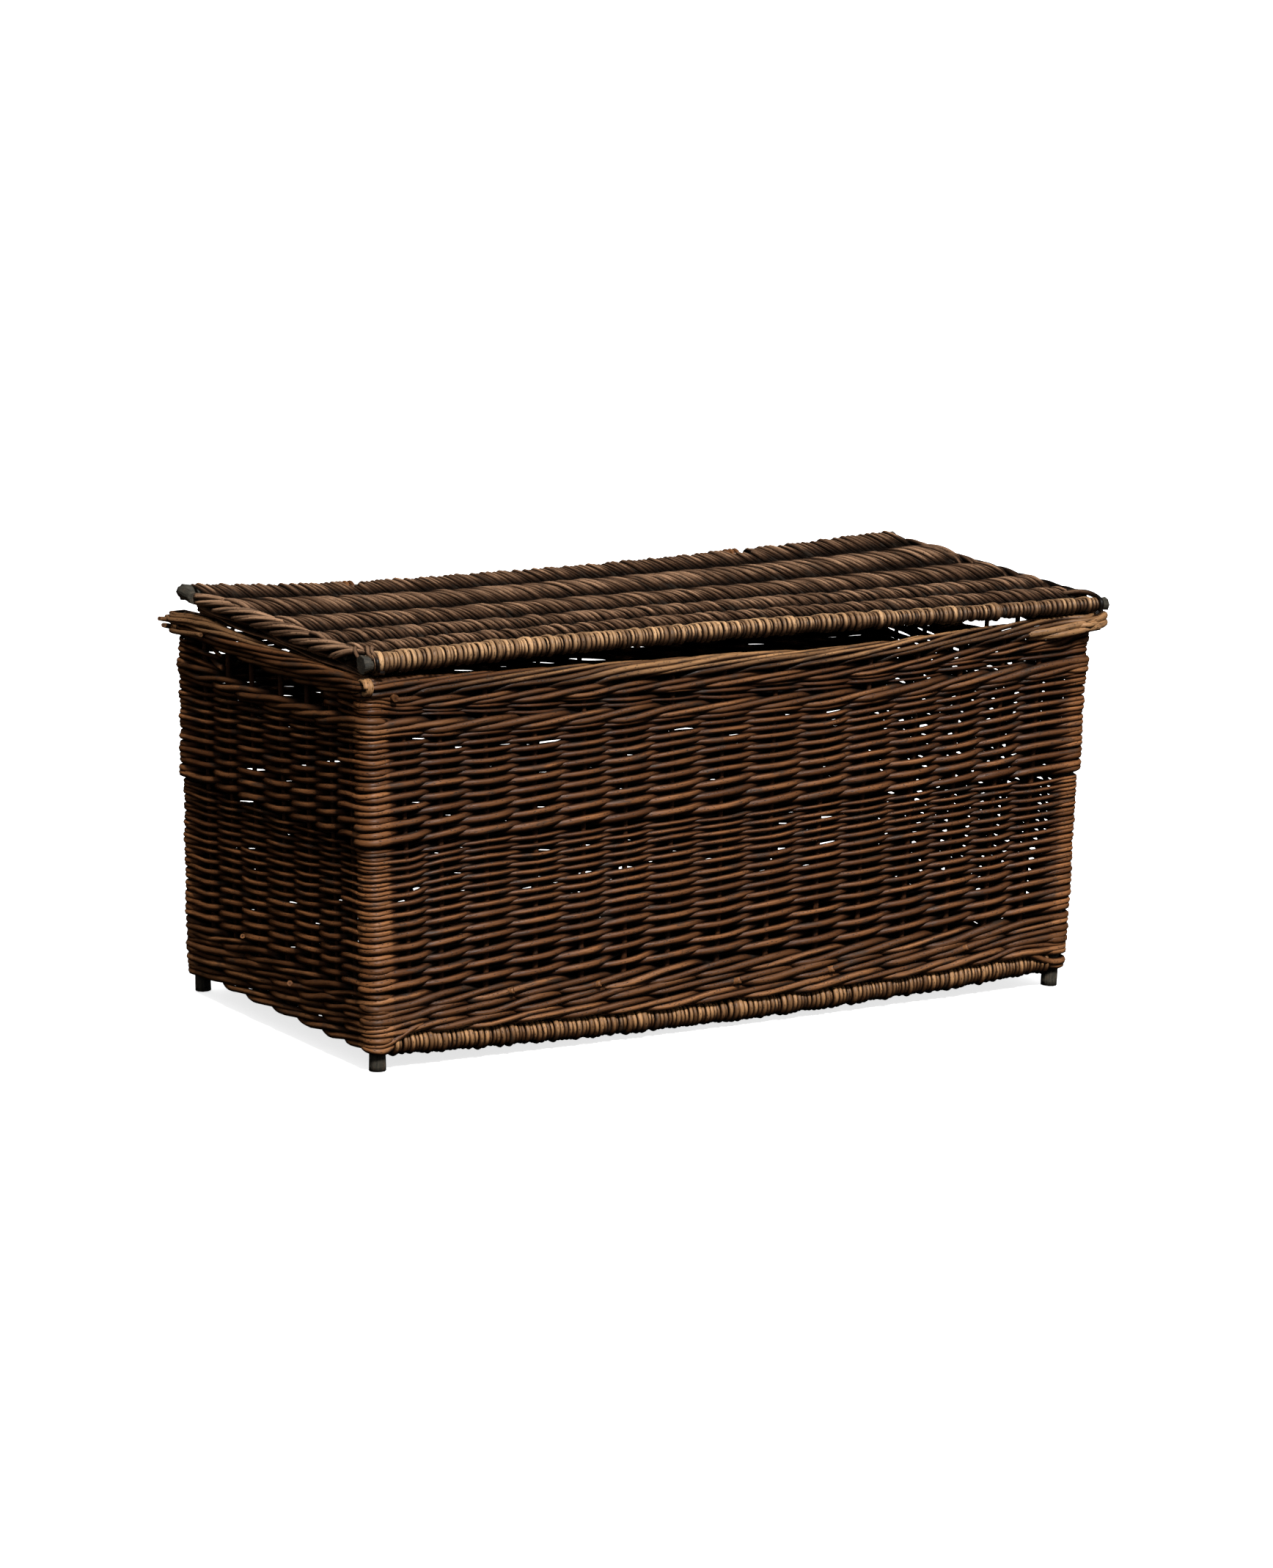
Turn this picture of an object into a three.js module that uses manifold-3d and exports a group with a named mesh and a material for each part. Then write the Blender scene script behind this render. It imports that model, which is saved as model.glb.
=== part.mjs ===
// Wicker laundry hamper with a hinged lid, in millimetres, +Z up, X along its length.
// Front is -Y, the hinge side is +Y, and the floor is at z = 0.
import * as THREE from "three";
import { mergeVertices } from "three/addons/utils/BufferGeometryUtils.js";
import Module from "manifold-3d";

const wasm = await Module();
wasm.setup();

// ---- driving dimensions ----
const HALF_L = 428; // outside of the wall at floor level
const HALF_W = 221;
const FLARE_L = 19; // how far each end wall leans out by the rim
const FLARE_W = 3.5;
const LEAN_X = 6; // how far the whole basket has racked by the rim
const LEAN_Y = -3.5;
const WALL = 14; // thickness of stake plus weave
const GAP = 0.3; // clearance between neighbours
const BELLY = 1.5; // how far the middle of each wall bulges out

const FOOT_Z = 20; // heights of the bands
const BASE_Z = 41;
const WALE_Z = 82;
const MIDDLE_Z = 235;
const UPPER_Z = 350;
const STRIP_Z = 366;
const RAIL_Z = 389;
const RIM_Z = 417;

const POST_R = 8.5;
const POST_IN = 13; // post centre from the outside faces
const STAKE = 7;
const STAKE_IN = 7; // stake centre from the outside face
const RAIL_OUT = 9; // how far the rolled border overhangs
const RAIL_IN = 16;

const FRONT_STAKES = [
  -381, -342, -290, -234, -178, -129, -76, -16, 44, 104, 157, 215, 268, 320, 366,
];
const BACK_STAKES = [-7, -6, -5, -4, -3, -2, -1, 0, 1, 2, 3, 4, 5, 6, 7].map((k) => k * 52);
const END_STAKES = [-178, -136, -82, -22, 45, 103, 160];
const HAND_FROM = -136; // end stakes between which the hand hole is left open
const HAND_TO = 103;

const BASE_STICK_R = 6.5;
const BASE_STICKS = 5;

const LID_X0 = -440; // ends of the lid sticks
const LID_X1 = 463;
const LID_HALF = 11; // half the lid's thickness
const LID_Z = RIM_Z + 0.4 + LID_HALF;
const LID_STICK_R = 7;
const LID_STICKS_Y = [209, 89, -21, -107, -172, -226];
const LID_STICKS = LID_STICKS_Y.length;
const LID_BACK_Y = 209; // axis of the back stick, which is the hinge axis
const LID_FRONT_Y = -226;
const LID_END = 5; // bare length at each stick's end
const LID_END_WALE = 12;
const LID_CURL = 8; // lift of the two back corners
const LID_BOW = 4; // rise of the middle of the front edge

const HINGES = [-238.4, 250.4]; // middle of each hinge loop
const HINGE_W = 20;
const HINGE_T = 4.5;
const HINGE_CLEAR = 0.5;
const NOTCH_W = 26;
const NOTCH_IN = 16;

// ---- the shape the years have given it ----
function rimSag(x) {
  const u = THREE.MathUtils.clamp(x / HALF_L, -1, 1);
  const dip = Math.exp(-(((u - 0.35) / 0.35) ** 2));
  return (8 + 6 * dip) * (1 - u * u);
}

function basketWarp(p) {
  const t = p.z / RIM_Z;
  const frontness = Math.max(0, -p.y / HALF_W);
  const high = THREE.MathUtils.clamp((p.z - MIDDLE_Z) / (RIM_Z - MIDDLE_Z), 0, 1);
  const z = p.z - rimSag(p.x) * frontness * high;
  const x = p.x * (1 + (FLARE_L / HALF_L) * t) + LEAN_X * t;
  const y = p.y * (1 + (FLARE_W / HALF_W) * t) + LEAN_Y * t;
  return new THREE.Vector3(x, y, z);
}

function lidWarp(p) {
  const half = (LID_X1 - LID_X0) / 2;
  const u = (p.x - (LID_X0 + LID_X1) / 2) / half;
  const v = THREE.MathUtils.clamp((LID_BACK_Y - p.y) / (LID_BACK_Y - LID_FRONT_Y), 0, 1);
  const curl = LID_CURL * Math.max(0, (Math.abs(u) - 0.5) / 0.5) ** 2;
  const bow = LID_BOW * (1 - u * u);
  return new THREE.Vector3(p.x, p.y, p.z + (1 - v) * curl + v * bow);
}

// ---- solids ----
function toSolid(geometry) {
  const bare = geometry.clone();
  bare.deleteAttribute("normal");
  bare.deleteAttribute("uv");
  const merged = mergeVertices(bare, 1e-3);
  const mesh = new wasm.Mesh({
    numProp: 3,
    vertProperties: new Float32Array(merged.attributes.position.array),
    triVerts: new Uint32Array(merged.index.array),
  });
  return new wasm.Manifold(mesh);
}

function toGeometry(solid) {
  const mesh = solid.getMesh();
  const geometry = new THREE.BufferGeometry();
  geometry.setAttribute("position", new THREE.BufferAttribute(new Float32Array(mesh.vertProperties), 3));
  geometry.setIndex(new THREE.BufferAttribute(new Uint32Array(mesh.triVerts), 1));
  return geometry;
}

function subtract(geometry, cutters) {
  let solid = toSolid(geometry);
  for (const cutter of cutters) solid = solid.subtract(toSolid(cutter));
  return toGeometry(solid);
}

function join(geometries) {
  let solid = toSolid(geometries[0]);
  for (const other of geometries.slice(1)) solid = solid.add(toSolid(other));
  return toGeometry(solid);
}

function warped(geometry, warp) {
  const position = geometry.attributes.position;
  for (let i = 0; i < position.count; i++) {
    const p = warp(new THREE.Vector3().fromBufferAttribute(position, i));
    position.setXYZ(i, p.x, p.y, p.z);
  }
  geometry.computeVertexNormals();
  return geometry;
}

// Moves the evenly spaced rows of a geometry along one axis on to the given stations.
function onStations(geometry, axis, from, to, stations) {
  const position = geometry.attributes.position;
  const last = stations.length - 1;
  for (let i = 0; i < position.count; i++) {
    const value = position.getComponent(i, axis);
    const row = Math.round(((value - from) / (to - from)) * last);
    position.setComponent(i, axis, stations[row]);
  }
  return geometry;
}

function block(x0, x1, y0, y1, z0, z1) {
  const geometry = new THREE.BoxGeometry(x1 - x0, y1 - y0, z1 - z0);
  return geometry.translate((x0 + x1) / 2, (y0 + y1) / 2, (z0 + z1) / 2);
}

function upright(x, y, side, levels) {
  const rows = levels.length - 1;
  const geometry = new THREE.BoxGeometry(side, side, rows, 1, 1, rows);
  onStations(geometry, 2, -rows / 2, rows / 2, levels);
  return geometry.translate(x, y, 0);
}

// A profile in (y, z) carried along X through the stations.
function alongX(shape, stations) {
  const rows = stations.length - 1;
  const options = { depth: rows, steps: rows, bevelEnabled: false, curveSegments: 1 };
  const geometry = new THREE.ExtrudeGeometry(shape, options);
  geometry.applyMatrix4(new THREE.Matrix4().set(0, 0, 1, 0, 1, 0, 0, 0, 0, 1, 0, 0, 0, 0, 0, 1));
  return onStations(geometry, 0, 0, rows, stations);
}

// The same carried along Y, with the profile in (x, z).
function alongY(shape, stations) {
  const swapped = alongX(shape, stations);
  swapped.applyMatrix4(new THREE.Matrix4().set(0, 1, 0, 0, -1, 0, 0, 0, 0, 0, 1, 0, 0, 0, 0, 1));
  return swapped;
}

function polygon(cx, cy, radius, sides, turn = 0) {
  const points = [];
  for (let i = 0; i < sides; i++) {
    const a = turn + (i * 2 * Math.PI) / sides;
    points.push(new THREE.Vector2(cx + radius * Math.cos(a), cy + radius * Math.sin(a)));
  }
  return points;
}

function middles(list) {
  return list.slice(1).map((value, i) => (value + list[i]) / 2);
}

// ---- the plan of the walls ----
const CORNERS = [
  [-1, -1],
  [1, -1],
  [1, 1],
  [-1, 1],
];

function cornerArc(sx, sy, radius, from, to, count) {
  const cx = sx * (HALF_L - POST_IN);
  const cy = sy * (HALF_W - POST_IN);
  const points = [];
  for (let i = 0; i <= count; i++) {
    const a = from + ((to - from) * i) / count;
    points.push(new THREE.Vector2(cx + radius * Math.cos(a), cy + radius * Math.sin(a)));
  }
  return points;
}

function sideStations(k) {
  if (k === 0) return middles(FRONT_STAKES);
  if (k === 1) return middles(END_STAKES);
  if (k === 2) return middles(BACK_STAKES).reverse();
  return middles(END_STAKES).reverse();
}

function sidePoint(k, s, inward) {
  const half = k % 2 === 0 ? HALF_L : HALF_W;
  const depth = inward - BELLY * (1 - (s / half) ** 2);
  if (k === 0) return new THREE.Vector2(s, -HALF_W + depth);
  if (k === 1) return new THREE.Vector2(HALF_L - depth, s);
  if (k === 2) return new THREE.Vector2(s, HALF_W - depth);
  return new THREE.Vector2(-HALF_L + depth, s);
}

function outerCorner(k) {
  const from = Math.PI * (1 + k / 2);
  return cornerArc(...CORNERS[k], POST_IN, from, from + Math.PI / 2, 3);
}

function innerCorner(k) {
  const slip = Math.asin((WALL - POST_IN) / POST_IN);
  const middle = Math.PI * (0.25 + k / 2);
  const reach = Math.PI / 4 - slip;
  return cornerArc(...CORNERS[k], POST_IN, middle + reach, middle - reach, 3);
}

function wallLoop(corner, inward) {
  const points = [];
  for (let k = 0; k < 4; k++) {
    points.push(...corner(k));
    for (const s of sideStations(k)) points.push(sidePoint(k, s, inward));
  }
  return points;
}

function stakePlaces(k) {
  const rows = [FRONT_STAKES, END_STAKES, BACK_STAKES, END_STAKES];
  return rows[k].map((s) => sidePoint(k, s, STAKE_IN));
}

function postPlace(k) {
  const [sx, sy] = CORNERS[k];
  return new THREE.Vector2(sx * (HALF_L - POST_IN), sy * (HALF_W - POST_IN));
}

function bent(geometry) {
  return warped(geometry, basketWarp);
}

function roundUpright(p, radius, levels) {
  const rows = levels.length - 1;
  const options = { depth: rows, steps: rows, bevelEnabled: false };
  const geometry = new THREE.ExtrudeGeometry(new THREE.Shape(polygon(p.x, p.y, radius, 12)), options);
  return onStations(geometry, 2, 0, rows, levels);
}

// The posts and stakes that pass through a band, a little larger than they are.
function uprightHoles(keep, z0, z1) {
  const levels = [z0 - 1, z1 + 1];
  const holes = [];
  for (let k = 0; k < 4; k++) {
    const post = postPlace(k);
    if (keep(post)) holes.push(bent(roundUpright(post, POST_R + GAP, levels)));
    for (const p of stakePlaces(k)) {
      if (keep(p)) holes.push(bent(upright(p.x, p.y, STAKE + 2 * GAP, levels)));
    }
  }
  return holes;
}

// A closed band of wall: a four-sided torus whose rows are moved on to the plan.
function ring(z0, z1) {
  const outer = wallLoop(outerCorner, 0);
  const inner = wallLoop(innerCorner, WALL);
  const count = outer.length;
  const geometry = new THREE.TorusGeometry(2, 1, 4, count);
  const position = geometry.attributes.position;
  for (let i = 0; i < position.count; i++) {
    const station = (i % (count + 1)) % count;
    const side = Math.floor(i / (count + 1)) % 4;
    const p = side < 2 ? outer[station] : inner[station];
    position.setXYZ(i, p.x, p.y, side === 1 || side === 2 ? z1 : z0);
  }
  return subtract(bent(geometry), uprightHoles(() => true, z0, z1));
}

// The strip beside the hand holes runs round one long side and stops at each hand hole.
function strip(side, z0, z1) {
  const edge = (side < 0 ? HAND_FROM : HAND_TO) - side * (STAKE / 2 + GAP + 3);
  const within = (p) => (p.y - edge) * side > 0;
  const first = side < 0 ? 3 : 1;
  const last = side < 0 ? 1 : 3;
  const run = (corner, depth) => {
    const kept = fromEndWall(wallLoop(corner, depth).filter(within));
    return [sidePoint(first, edge, depth), ...kept, sidePoint(last, edge, depth)];
  };
  const outer = run(outerCorner, 0);
  const inner = run(innerCorner, WALL);
  const rows = outer.length - 1;
  const shape = new THREE.Shape(polygon(0, 0, Math.SQRT2, 4, Math.PI / 4));
  const geometry = new THREE.ExtrudeGeometry(shape, { depth: rows, steps: rows, bevelEnabled: false });
  const position = geometry.attributes.position;
  for (let i = 0; i < position.count; i++) {
    const station = Math.round(position.getZ(i));
    const p = position.getX(i) > 0 ? inner[station] : outer[station];
    position.setXYZ(i, p.x, p.y, position.getY(i) > 0 ? z1 : z0);
  }
  return subtract(bent(geometry), uprightHoles(within, z0, z1));
}

// Turns a run of points so that it starts after its widest jump.
function fromEndWall(points) {
  const gaps = points.map((p, i) => p.distanceTo(points[(i + 1) % points.length]));
  const widest = gaps.indexOf(Math.max(...gaps));
  return [...points.slice(widest + 1), ...points.slice(0, widest + 1)];
}

// ---- basket parts ----
function post(k) {
  return bent(roundUpright(postPlace(k), POST_R, [0, MIDDLE_Z, RAIL_Z]));
}

function railProfile(inner, outer) {
  const c = 4;
  const z0 = RAIL_Z + GAP;
  const corners = [
    [inner, z0 + c],
    [inner + c, z0],
    [outer - c, z0],
    [outer, z0 + c],
    [outer, RIM_Z - c],
    [outer - c, RIM_Z],
    [inner + c, RIM_Z],
    [inner, RIM_Z - c],
  ];
  return new THREE.Shape(corners.map(([a, b]) => new THREE.Vector2(a, b)));
}

function longRail(side) {
  const stakes = side < 0 ? FRONT_STAKES : BACK_STAKES;
  const ends = HALF_L + RAIL_OUT;
  const corner = HALF_L - POST_IN;
  const stations = [-ends, -corner, ...middles(stakes), corner, ends];
  const profile = side < 0 ? [-HALF_W - RAIL_OUT, -HALF_W + RAIL_IN] : [HALF_W - RAIL_IN, HALF_W + RAIL_OUT];
  return alongX(railProfile(...profile), stations);
}

function endRail(side) {
  const reach = HALF_W - RAIL_IN - GAP;
  const profile = side < 0 ? [-HALF_L - RAIL_OUT, -HALF_L + RAIL_IN] : [HALF_L - RAIL_IN, HALF_L + RAIL_OUT];
  return alongY(railProfile(...profile), [-reach, reach]);
}

function comb(k) {
  const foot = k % 2 === 0 ? BASE_Z + GAP : FOOT_Z + 1;
  const levels = [foot, MIDDLE_Z, RAIL_Z + 6];
  const rail = k % 2 === 0 ? longRail(k === 0 ? -1 : 1) : endRail(k === 1 ? 1 : -1);
  const stakes = stakePlaces(k).map((p) => upright(p.x, p.y, STAKE, levels));
  return join([rail, ...stakes].map(bent));
}

function bottomWale() {
  const reach = HALF_L - 27;
  const top = BASE_Z + GAP;
  const cutters = [-1, 1].map((side) => {
    const y = [side * (HALF_W - WALL - 1), side * (HALF_W + 4)].sort((a, b) => a - b);
    return bent(block(-reach - GAP, reach + GAP, y[0], y[1], FOOT_Z - 1, top));
  });
  return subtract(ring(FOOT_Z, WALE_Z), cutters);
}

function baseStickY(i) {
  const outer = HALF_W - 10.5;
  return -outer + (2 * outer * i) / (BASE_STICKS - 1);
}

function baseReach(i) {
  const outside = i === 0 || i === BASE_STICKS - 1;
  return outside ? HALF_L - 27.5 : HALF_L - WALL - 0.8;
}

function baseStick(i, radius, extra) {
  const z = (FOOT_Z + BASE_Z) / 2;
  const reach = baseReach(i) + extra;
  const shape = new THREE.Shape(polygon(baseStickY(i), z, radius, 8));
  return bent(alongX(shape, [-reach, reach]));
}

function baseWeave() {
  const a = HALF_L - 27;
  const b = HALF_L - WALL - 0.5;
  const n = HALF_W - 26.5;
  const w = HALF_W;
  const plan = [
    [-a, -w], [a, -w], [a, -n], [b, -n], [b, n], [a, n],
    [a, w], [-a, w], [-a, n], [-b, n], [-b, -n], [-a, -n],
  ];
  const shape = new THREE.Shape(plan.map(([x, y]) => new THREE.Vector2(x, y)));
  const bores = [];
  for (let i = 0; i < BASE_STICKS; i++) bores.push(baseStick(i, BASE_STICK_R + GAP, 3));
  const options = { depth: BASE_Z - FOOT_Z, steps: 1, bevelEnabled: false };
  const slab = new THREE.ExtrudeGeometry(shape, options).translate(0, 0, FOOT_Z);
  return subtract(bent(slab), bores);
}

function topStripBack() {
  const notches = HINGES.map((x) => {
    const t = RAIL_Z / RIM_Z;
    const middle = (x - LEAN_X * t) / (1 + (FLARE_L / HALF_L) * t);
    const half = HINGE_W / 2 + 1;
    return bent(block(middle - half, middle + half, HALF_W - WALL - 1, HALF_W + 4, RAIL_Z - 6, RAIL_Z + 1));
  });
  return subtract(strip(1, STRIP_Z, RAIL_Z), notches);
}

// ---- hinge loops ----
function hull(points) {
  const sorted = [...points].sort((a, b) => a.x - b.x || a.y - b.y);
  const half = (list) => {
    const chain = [];
    for (const p of list) {
      while (chain.length > 1 && turn(chain.at(-2), chain.at(-1), p) <= 1e-6) chain.pop();
      chain.push(p);
    }
    chain.pop();
    return chain;
  };
  return [...half(sorted), ...half(sorted.reverse())];
}

function turn(a, b, c) {
  return (b.x - a.x) * (c.y - a.y) - (b.y - a.y) * (c.x - a.x);
}

function loopOutline(offset) {
  const inner = HALF_W - RAIL_IN;
  const outer = HALF_W + RAIL_OUT;
  const k = 1 + FLARE_W / HALF_W;
  const y0 = inner * k + LEAN_Y - 0.8;
  const y1 = outer * k + LEAN_Y + 0.8;
  const points = polygon(LID_BACK_Y, LID_Z, LID_STICK_R + HINGE_CLEAR + offset, 12);
  const c = 3.5;
  const z0 = RAIL_Z - 0.6;
  const z1 = RIM_Z + 0.4;
  for (const [y, z] of [[y0, z0 + c], [y0 + c, z0], [y1 - c, z0], [y1, z0 + c], [y1, z1 - c], [y0, z1 - c]]) {
    points.push(...polygon(y, z, Math.max(offset, 0.01), 8));
  }
  return hull(points);
}

function hingeLoop(x) {
  const shape = new THREE.Shape(loopOutline(HINGE_T));
  shape.holes.push(new THREE.Path(loopOutline(0)));
  return alongX(shape, [x - HINGE_W / 2, x + HINGE_W / 2]);
}

// ---- lid parts ----
function lidStations(x0, x1) {
  const half = (LID_X1 - LID_X0) / 2;
  const middle = (LID_X0 + LID_X1) / 2;
  const marks = [-0.87, -0.74, -0.62, -0.5, -0.25, 0, 0.25, 0.5, 0.62, 0.74, 0.87];
  const inside = marks.map((u) => middle + u * half).filter((x) => x > x0 + 1 && x < x1 - 1);
  return [x0, ...inside, x1];
}

function lidStick(i, radius, x0, x1) {
  const shape = new THREE.Shape(polygon(LID_STICKS_Y[i], LID_Z, radius, 6));
  return warped(alongX(shape, lidStations(x0, x1)), lidWarp);
}

function lidProfile() {
  const points = [];
  for (let i = 0; i <= 4; i++) {
    const a = -Math.PI / 2 + (Math.PI * i) / 4;
    points.push(new THREE.Vector2(LID_BACK_Y + LID_HALF * Math.cos(a), LID_Z + LID_HALF * Math.sin(a)));
  }
  for (let i = 0; i <= 4; i++) {
    const a = Math.PI / 2 + (Math.PI * i) / 4;
    points.push(new THREE.Vector2(LID_FRONT_Y + LID_HALF * Math.cos(a), LID_Z + LID_HALF * Math.sin(a)));
  }
  return new THREE.Shape(points);
}

function lidSlab(x0, x1, notched) {
  const cutters = [];
  for (let i = 0; i < LID_STICKS; i++) cutters.push(lidStick(i, LID_STICK_R + 0.35, x0 - 4, x1 + 4));
  if (notched) {
    for (const x of HINGES) {
      const half = NOTCH_W / 2;
      cutters.push(block(x - half, x + half, LID_BACK_Y - NOTCH_IN, LID_BACK_Y + 20, LID_Z - 20, LID_Z + 20));
    }
  }
  return subtract(warped(alongX(lidProfile(), lidStations(x0, x1)), lidWarp), cutters);
}

// ---- assembly ----
const WILLOW = 0x4a2f1c;
const WALE = 0x543720;
const STAKE_WOOD = 0x3d2616;
const BARK = 0x3b3428;
const LID = 0x5d4028;

const hamper = new THREE.Group();
hamper.name = "laundry_hamper";

function addPart(name, geometry, color, roughness = 0.7) {
  geometry.computeVertexNormals();
  const material = new THREE.MeshStandardMaterial({ color, roughness, metalness: 0 });
  const mesh = new THREE.Mesh(geometry, material);
  mesh.name = name;
  hamper.add(mesh);
}

const POSTS = ["front_left", "front_right", "back_right", "back_left"];
const SIDES = ["front", "right", "back", "left"];

POSTS.forEach((name, k) => addPart("post_" + name, post(k), BARK, 0.8));
for (let i = 0; i < BASE_STICKS; i++) {
  addPart("base_stick_" + (i + 1), baseStick(i, BASE_STICK_R, 0), BARK, 0.8);
}
addPart("base_weave", baseWeave(), WILLOW);
SIDES.forEach((name, k) => addPart("stakes_and_border_" + name, comb(k), STAKE_WOOD));
addPart("bottom_wale", bottomWale(), WALE);
addPart("lower_weave", ring(WALE_Z + GAP, MIDDLE_Z), WILLOW);
addPart("upper_weave", ring(MIDDLE_Z + GAP, UPPER_Z), WILLOW);
addPart("upper_wale", ring(UPPER_Z + GAP, STRIP_Z - GAP), WALE);
addPart("top_strip_front", strip(-1, STRIP_Z, RAIL_Z), WILLOW);
addPart("top_strip_back", topStripBack(), WILLOW);
addPart("hinge_loop_left", hingeLoop(HINGES[0]), WALE);
addPart("hinge_loop_right", hingeLoop(HINGES[1]), WALE);

for (let i = 0; i < LID_STICKS; i++) {
  addPart("lid_stick_" + (i + 1), lidStick(i, LID_STICK_R, LID_X0, LID_X1), BARK, 0.8);
}
const waleIn = LID_END + LID_END_WALE;
addPart("lid_weave", lidSlab(LID_X0 + waleIn + GAP, LID_X1 - waleIn - GAP, true), LID);
addPart("lid_end_left", lidSlab(LID_X0 + LID_END, LID_X0 + waleIn, false), LID);
addPart("lid_end_right", lidSlab(LID_X1 - waleIn, LID_X1 - LID_END, false), LID);

// The origin is on the floor under the middle of the whole hamper.
const middle = new THREE.Box3().setFromObject(hamper).getCenter(new THREE.Vector3());
hamper.position.set(-middle.x, -middle.y, 0);

export default hamper;
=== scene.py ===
"""Looks of the wicker laundry hamper: every willow rod is a tube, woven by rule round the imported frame.

Sizes are in millimetres, in the straight box that the part is drawn in. Each rod's line is then flared,
leaned and sagged, and becomes metres when its mesh is made."""
import math

import bpy
import numpy as np
from mathutils import Matrix, Vector


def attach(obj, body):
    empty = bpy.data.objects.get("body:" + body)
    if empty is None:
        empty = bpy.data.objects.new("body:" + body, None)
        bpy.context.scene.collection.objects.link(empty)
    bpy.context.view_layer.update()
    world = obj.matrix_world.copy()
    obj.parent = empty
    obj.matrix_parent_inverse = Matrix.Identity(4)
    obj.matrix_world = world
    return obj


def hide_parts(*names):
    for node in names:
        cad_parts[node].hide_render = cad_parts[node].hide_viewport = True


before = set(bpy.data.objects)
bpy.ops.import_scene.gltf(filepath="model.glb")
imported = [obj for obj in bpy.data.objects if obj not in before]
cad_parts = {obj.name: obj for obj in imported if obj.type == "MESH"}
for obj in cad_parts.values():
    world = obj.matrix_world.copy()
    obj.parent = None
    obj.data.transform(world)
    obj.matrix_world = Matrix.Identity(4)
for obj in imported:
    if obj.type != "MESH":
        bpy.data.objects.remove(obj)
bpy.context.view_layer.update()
rng = np.random.default_rng(11)

# ---- driving dimensions: the part's own, but for the lid's right end ----
HALF_L, HALF_W = 428.0, 221.0
FLARE_L, FLARE_W = 19.0, 3.5
LEAN_X, LEAN_Y = 6.0, -3.5
BELLY = 1.5
ORIGIN = np.array([-6.30, 0.816, 0.0])  # the straight box's middle at the floor, in the frame
FOOT_Z, BASE_Z, WALE_Z, MIDDLE_Z = 20.0, 41.0, 82.0, 235.0
UPPER_Z, STRIP_Z, RAIL_Z, RIM_Z = 350.0, 366.0, 389.0, 417.0
POST_R, POST_IN = 8.5, 13.0
STAKE_IN = 7.0
CORNER_R = POST_IN - STAKE_IN
FRONT_STAKES = [-381, -342, -290, -234, -178, -129, -76, -16, 44, 104, 157, 215, 268, 320, 366]
BACK_STAKES = [52 * k for k in range(-7, 8)]
END_STAKES = [-178, -136, -82, -22, 45, 103, 160]
BASE_STICK_R = 6.5
BASE_STICK_STEP = 105.25
BASE_STICK_Y = [BASE_STICK_STEP * k for k in range(-2, 3)]
LID_X0, LID_X1 = -440.0, 468.0  # the right end reaches 5 mm further than in the part
LID_LENGTH = LID_X1 - LID_X0
LID_Z = 428.4
LID_BACK_Y, LID_FRONT_Y = 209.0, -226.0
LID_DEPTH = LID_BACK_Y - LID_FRONT_Y
LID_STICKS_Y = [209.0, 89.0, -21.0, -107.0, -172.0, -226.0]
LID_CURL, LID_BOW = 8.0, 4.0
HINGES = [-238.4, 250.4]
NOTCH_W, NOTCH_IN = 26.0, 16.0

# ---- dimensions that only the looks have ----
BASE_SAG = 10.0
STAKE_R = 3.0
LID_CURL_LEFT = 14.0
OUTER_R, INNER_R = 6.0, 5.0  # the lid's two edge sticks, and the four between them
LOOP_R, LOOP_GROW = 2.3, 3.4  # a hinge loop's rods, and how far their middles stand off what they hold
BORDER_Z, BORDER_RISE, BORDER_OUT = 405.0, 8.4, 7.6
BORDER_R = 3.3
SWING = {0: 2.0, 1: 13.0, 2: 6.0, 3: 12.0}  # how far the border stands out at each corner, front left first
SWING_LENGTH = 20.0
FIRST_SHADED_RIM = 31  # from this stake on, past the back left corner and along the left end, the border rods get little tan: painted shade
MM = 0.001


def share(distance, low, high):
    return np.clip((distance - low) / (high - low), 0, 1)


def soft_ended(u):
    return u * u * (3 - 2 * u)


def half_wave(u):
    return 0.5 - 0.5 * np.cos(np.pi * u)


# ---- the shape the years have given it ----
def rim_sag(x):
    """How far the front rim hangs. It hangs lowest to the right of its middle."""
    u = np.clip(x / HALF_L, -1, 1)
    dip = np.exp(-(((u - 0.35) / 0.35) ** 2))
    return (8 + 6 * dip) * (1 - u * u)


def base_sag(x, z):
    """The floor and the rows next to it hang a little in the middle of their length."""
    low = np.clip((130 - z) / (130 - BASE_Z), 0, 1)
    return BASE_SAG * low * (1 - np.clip(x / (HALF_L - 22), -1, 1) ** 2)


def spread(t):
    """How much longer and wider the basket is than at its foot, at a share of its height."""
    return 1 + FLARE_L / HALF_L * t, 1 + FLARE_W / HALF_W * t


def basket_warp(p):
    """From the straight box to the real basket, which flares, leans and sags."""
    x, y, z = p[..., 0], p[..., 1], p[..., 2]
    t = z / RIM_Z
    longer, wider = spread(t)
    high = np.clip((z - MIDDLE_Z) / (RIM_Z - MIDDLE_Z), 0, 1)
    sag = rim_sag(x) * np.maximum(0, -y / HALF_W) * high + base_sag(x, z)
    return np.stack([x * longer + LEAN_X * t, y * wider + LEAN_Y * t, z - sag], -1) + ORIGIN


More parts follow.
